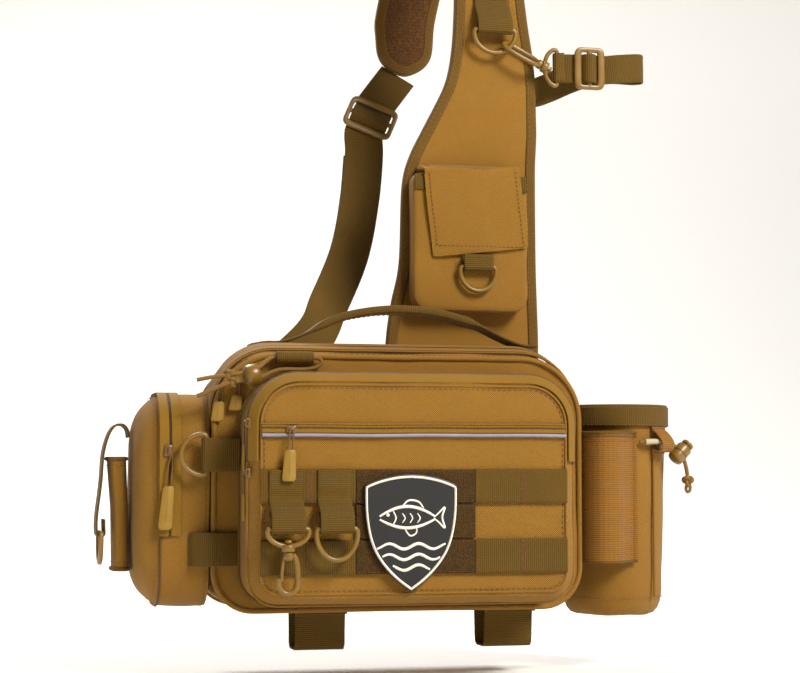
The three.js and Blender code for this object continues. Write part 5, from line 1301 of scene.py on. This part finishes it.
def build_phone_pouch(crease):
    """A slim pouch on the pad: rows of its rounded outline through its depth, with a flap over its top."""
    outline = rounded(47.6, 232.4, 343.6, 8.0, 13.0, 200)
    rows = [(0.01, 49.7), (0.7, 49.7), (0.97, 49.6), (1.0, 48.8), (1.004, 42), (1.0, 36.6), (0.99, 34.6),
            (0.965, 33.5), (0.9, 33.2), (0.7, 33.3), (0.4, 33.5), (0.01, 33.5)]
    grid = layered(outline, rows, np.array([0.0, 288.0])) + [77.0, 0, 0]
    grid = rumpled(grid, crease, 30, 31)
    parts = [(shape(grid), "oxford")]
    out = -BACK
    hem = table(np.linspace(31, 123, 20), 33.1, 335.5)
    parts.append((band(hem, (0, 0, 1.0), 13, 1.4, lanes=6), "webbing"))
    piece("phone_pouch_cloth", parts, stands_for="phone_pouch")
    shares = np.array([(1, 7.5), (0.8, 6.5), (0.4, 4.5), (0.12, 3.4), (-0.03, 0.6)])
    path = np.stack([31.7 + shares[:, 0] * 17.3, 344 + shares[:, 1]], 1)
    path = np.vstack([path, [(30.7, 326), (30.7, 310), (31.2, 294), (31.7, 280)]])
    line = even(np.stack([[77, 77, 77, 77, 77.4, 79, 81, 83, 84.6], path[:, 0], path[:, 1]], 1), 90)
    reach = np.clip((length_of(line) - np.linspace(0, length_of(line), 90)) / 3, 0, 1)
    width = 79 - 5 * (1 - np.sqrt(np.clip(1 - (1 - reach) ** 2, 0, 1)))
    sag = 0.35 * rippled(line, 26, 12)[:, None] * [[0, 1, 0]]
    parts = [(band(line + sag, (1.0, 0, 0), width, 1.9, lanes=30), "oxford")]
    way = travel(line)
    face = unit(np.cross(np.broadcast_to([1.0, 0, 0], line.shape), way))
    face = face * np.sign((face[60] * out).sum())
    inset = 3.8
    reach = width[8:-5, None] / 2 - inset
    foot = np.linspace(width[-6] / 2 - inset, inset - width[-6] / 2, 30)[1:-1, None]
    rim = np.vstack([line[8:-5] + RIGHT * reach, line[-6] + foot * RIGHT,
                     (line[8:-5] - RIGHT * reach)[::-1]])
    away = np.vstack([face[8:-5], np.repeat(face[-6:-5], 28, 0), face[8:-5][::-1]])
    parts.append((stitched(rim + away * 0.95, away, 3.4, 0.7, 0.65, 0.0), "dark_thread"))
    piece("phone_flap_cloth", parts, stands_for="phone_flap")
    right, down = RIGHT, -UP
    bar = np.array([81.5, 29.1, 268.0])
    arc = fold_arc(bar, out, down)
    path = np.vstack([[(81.5, 26.3, 278), (81.5, 26.3, 273)], arc,
                      [(81.5, 31.9, 273), (81.5, 31.9, 278)]])
    looped_tab(path, right, TAB_WIDTH, "phone_ring_strap", "phone_ring_tab", [(0.06, -1)])
    ring_wire("phone_ring_wire", ring_path(bar, right, down, 19.0, RING_HALF), "phone_ring",
              "phone_d_ring")


HIGH_BAR = np.array([101.0, 47.04, 464.0])
CLIP_WAY = unit([0.885, -0.06, -0.465])
CLIP_ACROSS = unit(np.array([0, 0.8, 0]) + 0.6 * unit(np.cross(CLIP_WAY, [0, 1.0, 0])))
RING_POINT = HIGH_BAR + [math.cos(math.pi / 4) * 17.5, 0, -(0.12 + 0.88 * math.sin(math.pi / 4)) * 19]
CLIP_START = RING_POINT - CLIP_WAY * 5.7
CLIP_FOOT = CLIP_START + CLIP_WAY * 33
EYE_COLLAR = CLIP_FOOT + CLIP_WAY * 5.5
EYE_BAR = EYE_COLLAR + [10.5, 0, 0]


def build_strap_fittings():
    """The ring high on the pad, and the swivel clip that joins the rod loop to it."""
    right, down, out = RIGHT, -UP, -BACK
    bar = HIGH_BAR
    face = lambda z: 49.2 + 8 * ((z - 165) / 335) ** 3
    arc = fold_arc(bar, out, down)
    path = np.vstack([[(101, face(498) - 0.4, 498), (101, face(486) - 0.6, 486),
                       (101, bar[1] - 1.6, 472)], arc,
                      [(101, bar[1] + 2.8, 473)]])
    looped_tab(path, right, 29.4, "high_ring_strap", "strap_ring_tab",
               [(0.08, -1), (0.16, -1)])
    ring_wire("high_ring_wire", ring_path(bar, right, down, 19.0, 17.5), "bag", "strap_d_ring")
    turn = np.linspace(0, 2 * np.pi, 80, endpoint=False)
    bow = np.sign(np.cos(turn)) * np.abs(np.cos(turn)) ** 0.7
    line = CLIP_START + CLIP_WAY * ((1 + bow) * 16.5)[:, None]
    line = line + CLIP_ACROSS * (np.sin(turn) * 6.6)[:, None]
    line = spaced(np.vstack([line, line[:1]]), 90, closed=True)
    shank = [(0.01, -1.5), (3.0, -1.5), (3.8, -0.8), (3.8, 2.0), (3.3, 2.6), (1.5, 2.7),
             (1.5, 9.4), (2.7, 9.5), (2.7, 11.0), (2.2, 11.4), (0.01, 11.4)]
    gate = CLIP_START + CLIP_WAY * np.array([[9.0], [13.0], [17.0]]) + CLIP_ACROSS * 6.6
    piece("strap_clip_body",
          [(tube(line, 2.0, 14, closed=True), "acetal"), (tube(even(gate, 14), 2.3, 14), "acetal"),
                              (turned(shank, CLIP_FOOT, CLIP_WAY, 28), "acetal")],
          stands_for="strap_clip")
    line = ring_path(EYE_BAR, UP, -right, 10.5, RING_HALF)
    collar = [(1.8, -2.5), (4.2, -2.5), (4.7, -2.0), (4.7, 2.0), (4.2, 2.5), (1.8, 2.5), (1.8, -2.48)]
    piece("clip_eye_wire", [(tube(line, 1.8, 14, closed=True, start=out), "acetal"),
                            (turned(collar, EYE_COLLAR, CLIP_WAY, 28), "acetal")],
          stands_for="clip_eye")


def weave(centre, along, face, half, off=2.6, bar=4.0):
    """Webbing through a slider: behind its outer bars and over its middle one."""
    slot = half - bar - 0.6
    rows = np.array([(-half - 2, 1), (-slot, 1), (-bar / 2 - 0.7, -1), (bar / 2 + 0.7, -1), (slot, 1),
                     (half + 2, 1)])
    return centre + np.outer(rows[:, 0], along) + np.outer(rows[:, 1] * off, face)


def slider_parts(centre, along, across, width, length):
    """A slider: a rounded frame carried round its rectangle, and the bar across its middle."""
    centre, along, across = np.asarray(centre, float), unit(along), unit(across)
    half_a, half_l = width / 2 - 2.0, length / 2 - 2.0
    turn = np.linspace(0, 2 * np.pi, 72, endpoint=False)
    wide, tall = squared(turn, 0.28)
    line = centre + np.outer(half_a * wide, across) + np.outer(half_l * tall, along)
    line = spaced(np.vstack([line, line[:1]]), 96, closed=True)
    face = np.cross(across, along)
    way = travel(line, True)
    side = np.cross(way, face)
    section = np.linspace(0, 2 * np.pi, 16, endpoint=False)
    wide, tall = squared(section, 0.6)
    wide, tall = 2.0 * wide, 1.5 * tall
    broad = 1 + 0.5 * np.abs(side @ along)[:, None, None]
    grid = line[:, None] + side[:, None] * wide[None, :, None] * broad + face * tall[None, :, None]
    bar = centre + np.outer(np.linspace(-half_a, half_a, 16), across)
    bar_grid = bar[:, None] + along * wide[None, :, None] + face * tall[None, :, None]
    return [(shape(grid, rows_closed=True), "acetal"), (shape(bar_grid), "acetal")]


def build_rod_loop():
    """A wide loop of webbing from behind the pad, back through its slider to the clip's eye."""
    back = 64.8
    level = EYE_BAR[2] + 0.4
    rows = np.array([(127, 0, -20), (139, 0, -18), (150, -0.5, -14), (175, -2, -3), (200, -4, 3),
                     (222, -5.5, 3), (228, -9, 3), (228.5, -14, 3), (223, -17.5, 3), (205, -19.5, 1)])
    route = np.array([0, back, level]) + rows
    centre = np.array([180.5, back - 20.5, level])
    through = weave(centre, -RIGHT, BACK, 12.0)
    turn = np.linspace(0.5, 1.5, 7)[:, None] * np.pi
    arc = EYE_BAR + FOLD_RADIUS * (np.cos(turn) * RIGHT + np.sin(turn) * BACK)
    end = [EYE_BAR + [6, -2.8, 0.4]]
    path = np.vstack([route, through, arc, end])
    line = even(path, 190)
    parts = [(band(line, (0, 0, 1.0), 23.6, 1.5, lanes=12), "webbing")]
    way = travel(line)
    out = unit(np.cross(np.broadcast_to([0, 0, 1.0], line.shape), way))
    for edge in (-9.4, 9.4):
        for face in (0.8, -0.8):
            row = line + np.array([0, 0, edge]) + out * face
            parts.append((stitched(row[4:110], out[4:110] * np.sign(face), 3.6, 0.66, 0.55, 0.0),
                          "dark_thread"))
    piece("rod_loop_webbing", parts, stands_for="rod_loop_strap")
    piece("rod_loop_buckle", slider_parts(centre, (1, 0, 0), (0, 0, -1), 35.0, 24.0),
          stands_for="rod_loop_slider")


def build_strap():
    """The strap's webbing, from the pad's tail through its slider, round the end ring and back up."""
    tail = np.array([61.0, PAD_SEAT + PAD_LEAN + PAD_ARCH, 459.0])
    foot = np.array([-122.0, 51.1, 145.0])
    pull = unit([0.72, 0.3, 0.62])
    low = foot + pull * 20
    high = low + pull * 13
    way = tail - high
    reach = np.linalg.norm(way)
    fold = 2 + GAP + 0.8
    side = unit([pull[2], 0, -pull[0]])
    ring_face = unit(np.cross(side, pull))

    def run(share, across, sag, lift):
        return high + way * share + np.array([across * reach, sag * reach + lift, -lift * 0.3])

    rows = [(0.16, 0.082, 0), (0.27, 0.086, 0.012), (0.42, 0.08, 0.022), (0.58, 0.047, 0.028),
            (0.72, 0.005, 0.022)]
    slide = run(0.84, -0.026, 0.004, 0)
    end = tail + [-6, 0, -4.9]
    along = unit(end - run(*rows[4], 0))
    across = unit(RIGHT - along * along[0])
    face = unit(np.cross(across, along))
    up_run = np.array([run(*row, 0) for row in rows])
    back_run = np.array([run(*row, 2 * fold) for row in rows])
    turn = np.linspace(1, 0, 7)[:, None] * np.pi
    arc = high + fold * (np.cos(turn) * ring_face - np.sin(turn) * pull)
    path = np.vstack([back_run[::-1], arc, up_run, weave(slide, along, -face, 15.5), [end]])
    line = even(path, 260)
    share = np.clip((line[:, 2] - high[2]) / (slide[2] - 20 - high[2]), 0, 1)[:, None]
    sides = unit(side * (1 - share) + across * share)
    parts = [(band(line, sides, 33.6, 1.5, lanes=14), "webbing")]
    piece("strap_webbing_run", parts, stands_for="strap_webbing")
    piece("strap_buckle", slider_parts(slide, along, across, 44.0, 31.0),
          stands_for="strap_slider")
    corners = [low - side * 22, low + side * 22, high + side * 22, high - side * 22]
    ring = np.vstack([np.linspace(0.08, 0.92, 7)[:, None] * (corners[(i + 1) % 4] - c) + c for i,
                      c in enumerate(corners)])
    ring = spaced(np.vstack([ring, ring[:1]]), 110, closed=True)
    piece("strap_end_wire", [(tube(ring, 2.05, 14, closed=True), "acetal")],
          stands_for="strap_end_ring")
    arc = low + fold * (np.cos(turn[::-1]) * ring_face + np.sin(turn[::-1]) * pull)
    sewn = np.array([foot - pull * 14, foot - pull * 2])
    sewn[:, 1] = foot[1]
    path = np.vstack([sewn, arc, [low - ring_face * fold - pull * 9]])
    looped_tab(path, side, 33.4, "strap_anchor_webbing", "strap_end_tab",
               [(0.08, 1), (0.2, 1)], count=90)


# The stage

def build_stage(key, fill):
    """A pale floor that turns up behind the bag, three soft area lights, and the camera."""
    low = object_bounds()[0][2] - 0.02
    depth = np.concatenate([np.linspace(-2.6, 1.6, 20),
                            1.6 + 1.1 * np.sin(np.linspace(0.05, 1, 30) * np.pi / 2)])
    rise = np.concatenate([np.zeros(20), 1.1 * (1 - np.cos(np.linspace(0.05, 1, 30) * np.pi / 2))])
    rise = np.concatenate([rise, [4.0]])
    depth = np.concatenate([depth, [2.72]])
    x = np.linspace(-4, 4, 8)
    grid = np.stack([np.broadcast_to(x, (len(depth), 8)), np.repeat(depth[:, None], 8, 1),
                     np.repeat(rise[:, None] + low, 8, 1)], -1)
    points, faces, _ = shape(grid, columns_closed=False)
    mesh = bpy.data.meshes.new("studio_sweep")
    mesh.from_pydata(points.tolist(), [], faces)
    mesh.polygons.foreach_set("use_smooth", np.ones(len(faces), bool))
    # Seamless background paper: matt and nearly white, with a faint fibre.
    material, tree = new_material("seamless_background_paper")
    place = add_node(tree, "ShaderNodeTexCoord").outputs["Object"]
    fibre = add_node(tree, "ShaderNodeTexNoise", {}, {"Scale": 400.0, "Detail": 3.0},
                     {"Vector": place}).outputs["Fac"]
    colour = add_node(tree, "ShaderNodeMix", {"data_type": "RGBA"},
                      {6: linear("F4F2EE"), 7: linear("F8F7F4")},
                      {0: fibre}).outputs[2]
    shader = add_node(tree, "ShaderNodeBsdfPrincipled", {},
                      {"Roughness": 0.95, "Specular IOR Level": 0.1},
                      {"Base Color": colour})
    add_node(tree, "ShaderNodeOutputMaterial", {}, {}, {"Surface": shader.outputs[0]})
    mesh.materials.append(material)
    floor = bpy.data.objects.new("studio_sweep", mesh)
    bpy.context.scene.collection.objects.link(floor)
    floor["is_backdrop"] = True
    middle = Vector(row_frame([0, 0, 220]))
    lights = [("key_softbox", (1.2, -1.9, 1.75), 1.0, key, (1.0, 0.97, 0.92)),
              ("fill_softbox", (-2.2, -1.3, 0.6), 1.4, fill, (1.0, 0.98, 0.96)),
              ("rim_softbox", (-0.6, 1.6, 1.9), 1.2, key * 0.6, (1.0, 1.0, 1.0))]
    for name, place, size, power, tint in lights:
        data = bpy.data.lights.new(name, "AREA")
        data.energy = power
        data.size = size
        data.color = tint
        light = bpy.data.objects.new(name, data)
        light.location = middle + Vector(place)
        light.rotation_euler = (middle - light.location).to_track_quat("-Z", "Y").to_euler()
        bpy.context.scene.collection.objects.link(light)
    world = bpy.data.worlds.new("studio_air")
    world.use_nodes = True
    world.node_tree.nodes["Background"].inputs["Color"].default_value = (1.0, 0.985, 0.96, 1.0)
    world.node_tree.nodes["Background"].inputs["Strength"].default_value = 0.2
    bpy.context.scene.world = world
    data = bpy.data.cameras.new("view_from_left")
    data.lens = SENSOR * FOCAL_PIXELS / PICTURE_WIDTH
    data.sensor_width = SENSOR
    camera = bpy.data.objects.new("view_from_left", data)
    target = Vector(row_frame([11.09, 0, 209.63]))
    azimuth, height = math.radians(-13), math.radians(-4)
    back = Vector((math.sin(azimuth) * math.cos(height), -math.cos(azimuth) * math.cos(height),
                   math.sin(height)))
    camera.location = target + back * 1.5
    camera.rotation_euler = (-back).to_track_quat("-Z", "Y").to_euler()
    bpy.context.scene.collection.objects.link(camera)
    bpy.context.scene.camera = camera
    bpy.context.scene.view_settings.view_transform = "Standard"


# What a user can change, the operators, and the panel

class BagClothSettings(bpy.types.PropertyGroup):
    """How slack the bag's cloth is."""
    body_crease: FloatProperty(name="Body crease",
                               description="Depth of the dents in the main compartment, in mm",
                               default=1.5, min=0, max=6, subtype="NONE")
    pocket_crease: FloatProperty(name="Pocket crease",
                                 description="Depth of the dents in the pockets, in mm",
                                 default=0.9, min=0, max=4)
    row_bow: FloatProperty(name="Row bow",
                           description="How far the webbing rows stand off between tacks, in mm",
                           default=1.0, min=0, max=4)
    sleeve_bow: FloatProperty(name="Sleeve bow", description="How far the elastic sleeve bows out, in mm",
                              default=19.0, min=4, max=19.5)


class BagStrapSettings(bpy.types.PropertyGroup):
    """The padded strap."""
    plumpness: FloatProperty(name="Pad fill", description="How full the shoulder pad is",
                             default=0.6, min=0, max=1,
                             subtype="FACTOR")


class BagStageSettings(bpy.types.PropertyGroup):
    """Studio lights."""
    key_power: FloatProperty(name="Key light", description="Power of the key softbox, in watts",
                             default=126.0, min=0)
    fill_power: FloatProperty(name="Fill light", description="Power of the fill softbox, in watts",
                              default=2.0, min=0)


class BagOperator:
    """Shared by the operators: each builds its pieces from the scene's settings and can be undone."""
    bl_options = {"REGISTER", "UNDO"}

    def execute(self, context):
        self.build(context.scene)
        return {"FINISHED"}


class BAG_OT_main_compartment(BagOperator, bpy.types.Operator):
    """Adds the main compartment with its seams and zip"""
    bl_idname = "bag.main_compartment"
    bl_label = "Main Compartment"

    def build(self, scene):
        build_main_compartment(scene.bag_cloth.body_crease)


class BAG_OT_front_pocket(BagOperator, bpy.types.Operator):
    """Adds the front pocket, its rim zip and the zip across its panel"""
    bl_idname = "bag.front_pocket"
    bl_label = "Front Pocket"

    def build(self, scene):
        build_front_pocket(scene.bag_cloth.pocket_crease)
        build_front_panel()


class BAG_OT_webbing_rows(BagOperator, bpy.types.Operator):
    """Adds the webbing rows and the loop pile between them"""
    bl_idname = "bag.webbing_rows"
    bl_label = "Webbing Rows"

    def build(self, scene):
        build_rows(scene.bag_cloth.row_bow)


class BAG_OT_shield_patch(BagOperator, bpy.types.Operator):
    """Adds the moulded shield with its fish and waves"""
    bl_idname = "bag.shield_patch"
    bl_label = "Shield Patch"

    def build(self, scene):
        build_patch()


class BAG_OT_front_fittings(BagOperator, bpy.types.Operator):
    """Adds the tabs on the upper row, the D-ring and the swivel hook"""
    bl_idname = "bag.front_fittings"
    bl_label = "Front Fittings"

    def build(self, scene):
        build_front_fittings()


class BAG_OT_zip_pulls(BagOperator, bpy.types.Operator):
    """Adds the sliders and pulls of all the zips"""
    bl_idname = "bag.zip_pulls"
    bl_label = "Zip Pulls"

    def build(self, scene):
        build_zip_pulls()


class BAG_OT_side_pouch(BagOperator, bpy.types.Operator):
    """Adds the side pouch, its zip, its ring tab and its keeper"""
    bl_idname = "bag.side_pouch"
    bl_label = "Side Pouch"

    def build(self, scene):
        build_side_pouch(scene.bag_cloth.pocket_crease)
        build_side_fittings()


class BAG_OT_tool_sheath(BagOperator, bpy.types.Operator):
    """Adds the tool sheath with its retention strap and ring"""
    bl_idname = "bag.tool_sheath"
    bl_label = "Tool Sheath"

    def build(self, scene):
        build_sheath()


class BAG_OT_bottle_pocket(BagOperator, bpy.types.Operator):
    """Adds the bottle pocket, its hem and the elastic sleeve before it"""
    bl_idname = "bag.bottle_pocket"
    bl_label = "Bottle Pocket"

    def build(self, scene):
        build_bottle_pocket(scene.bag_cloth.pocket_crease)
        build_rod_sleeve(scene.bag_cloth.sleeve_bow)


class BAG_OT_cords(BagOperator, bpy.types.Operator):
    """Adds the drawcord and the compression cord with their locks and knots"""
    bl_idname = "bag.cords"
    bl_label = "Cords"

    def build(self, scene):
        build_drawcord()
        build_compression()


class BAG_OT_loops(BagOperator, bpy.types.Operator):
    """Adds the two loops below the bag and the carry handle"""
    bl_idname = "bag.loops"
    bl_label = "Loops and Handle"

    def build(self, scene):
        build_loops()


class BAG_OT_shoulder_pad(BagOperator, bpy.types.Operator):
    """Adds the padded strap with its bound edge"""
    bl_idname = "bag.shoulder_pad"
    bl_label = "Shoulder Pad"

    def build(self, scene):
        build_pad(scene.bag_strap.plumpness)


class BAG_OT_phone_pouch(BagOperator, bpy.types.Operator):
    """Adds the pouch on the strap with its flap and ring"""
    bl_idname = "bag.phone_pouch"
    bl_label = "Phone Pouch"

    def build(self, scene):
        build_phone_pouch(scene.bag_cloth.pocket_crease)


class BAG_OT_strap_fittings(BagOperator, bpy.types.Operator):
    """Adds the high ring, the clip, the rod loop and the strap's webbing"""
    bl_idname = "bag.strap_fittings"
    bl_label = "Strap Fittings"

    def build(self, scene):
        build_strap_fittings()
        build_rod_loop()
        build_strap()


class BAG_OT_stage(BagOperator, bpy.types.Operator):
    """Adds the paper sweep, the lights and the camera"""
    bl_idname = "bag.stage"
    bl_label = "Stage"

    def build(self, scene):
        build_stage(scene.bag_stage.key_power, scene.bag_stage.fill_power)


SETTINGS = (BagClothSettings, BagStrapSettings, BagStageSettings)
OPERATORS = (
    BAG_OT_stage, BAG_OT_cords, BAG_OT_main_compartment, BAG_OT_front_pocket, BAG_OT_webbing_rows,
    BAG_OT_shield_patch, BAG_OT_front_fittings, BAG_OT_zip_pulls, BAG_OT_side_pouch, BAG_OT_tool_sheath,
    BAG_OT_bottle_pocket, BAG_OT_loops, BAG_OT_shoulder_pad, BAG_OT_phone_pouch, BAG_OT_strap_fittings,
)


class BAG_PT_panel(bpy.types.Panel):
    """Lists the bag's settings and the operators that build it"""
    bl_idname = "BAG_PT_panel"
    bl_label = "Sling Bag"
    bl_space_type = "VIEW_3D"
    bl_region_type = "UI"
    bl_category = "Sling Bag"

    def draw(self, context):
        scene = context.scene
        for settings in (scene.bag_cloth, scene.bag_strap, scene.bag_stage):
            for name in settings.__annotations__:
                self.layout.prop(settings, name)
        for operator in OPERATORS:
            self.layout.operator(operator.bl_idname)


def register():
    for item in (*SETTINGS, *OPERATORS, BAG_PT_panel):
        bpy.utils.register_class(item)
    bpy.types.Scene.bag_cloth = PointerProperty(type=BagClothSettings)
    bpy.types.Scene.bag_strap = PointerProperty(type=BagStrapSettings)
    bpy.types.Scene.bag_stage = PointerProperty(type=BagStageSettings)


def unregister():
    del bpy.types.Scene.bag_cloth, bpy.types.Scene.bag_strap, bpy.types.Scene.bag_stage
    for item in reversed((*SETTINGS, *OPERATORS, BAG_PT_panel)):
        bpy.utils.unregister_class(item)


def main():
    """Builds the whole bag."""
    register()
    make_materials()
    for operator in OPERATORS:
        group, name = operator.bl_idname.split(".")
        getattr(getattr(bpy.ops, group), name)()


if __name__ == "__main__":
    main()
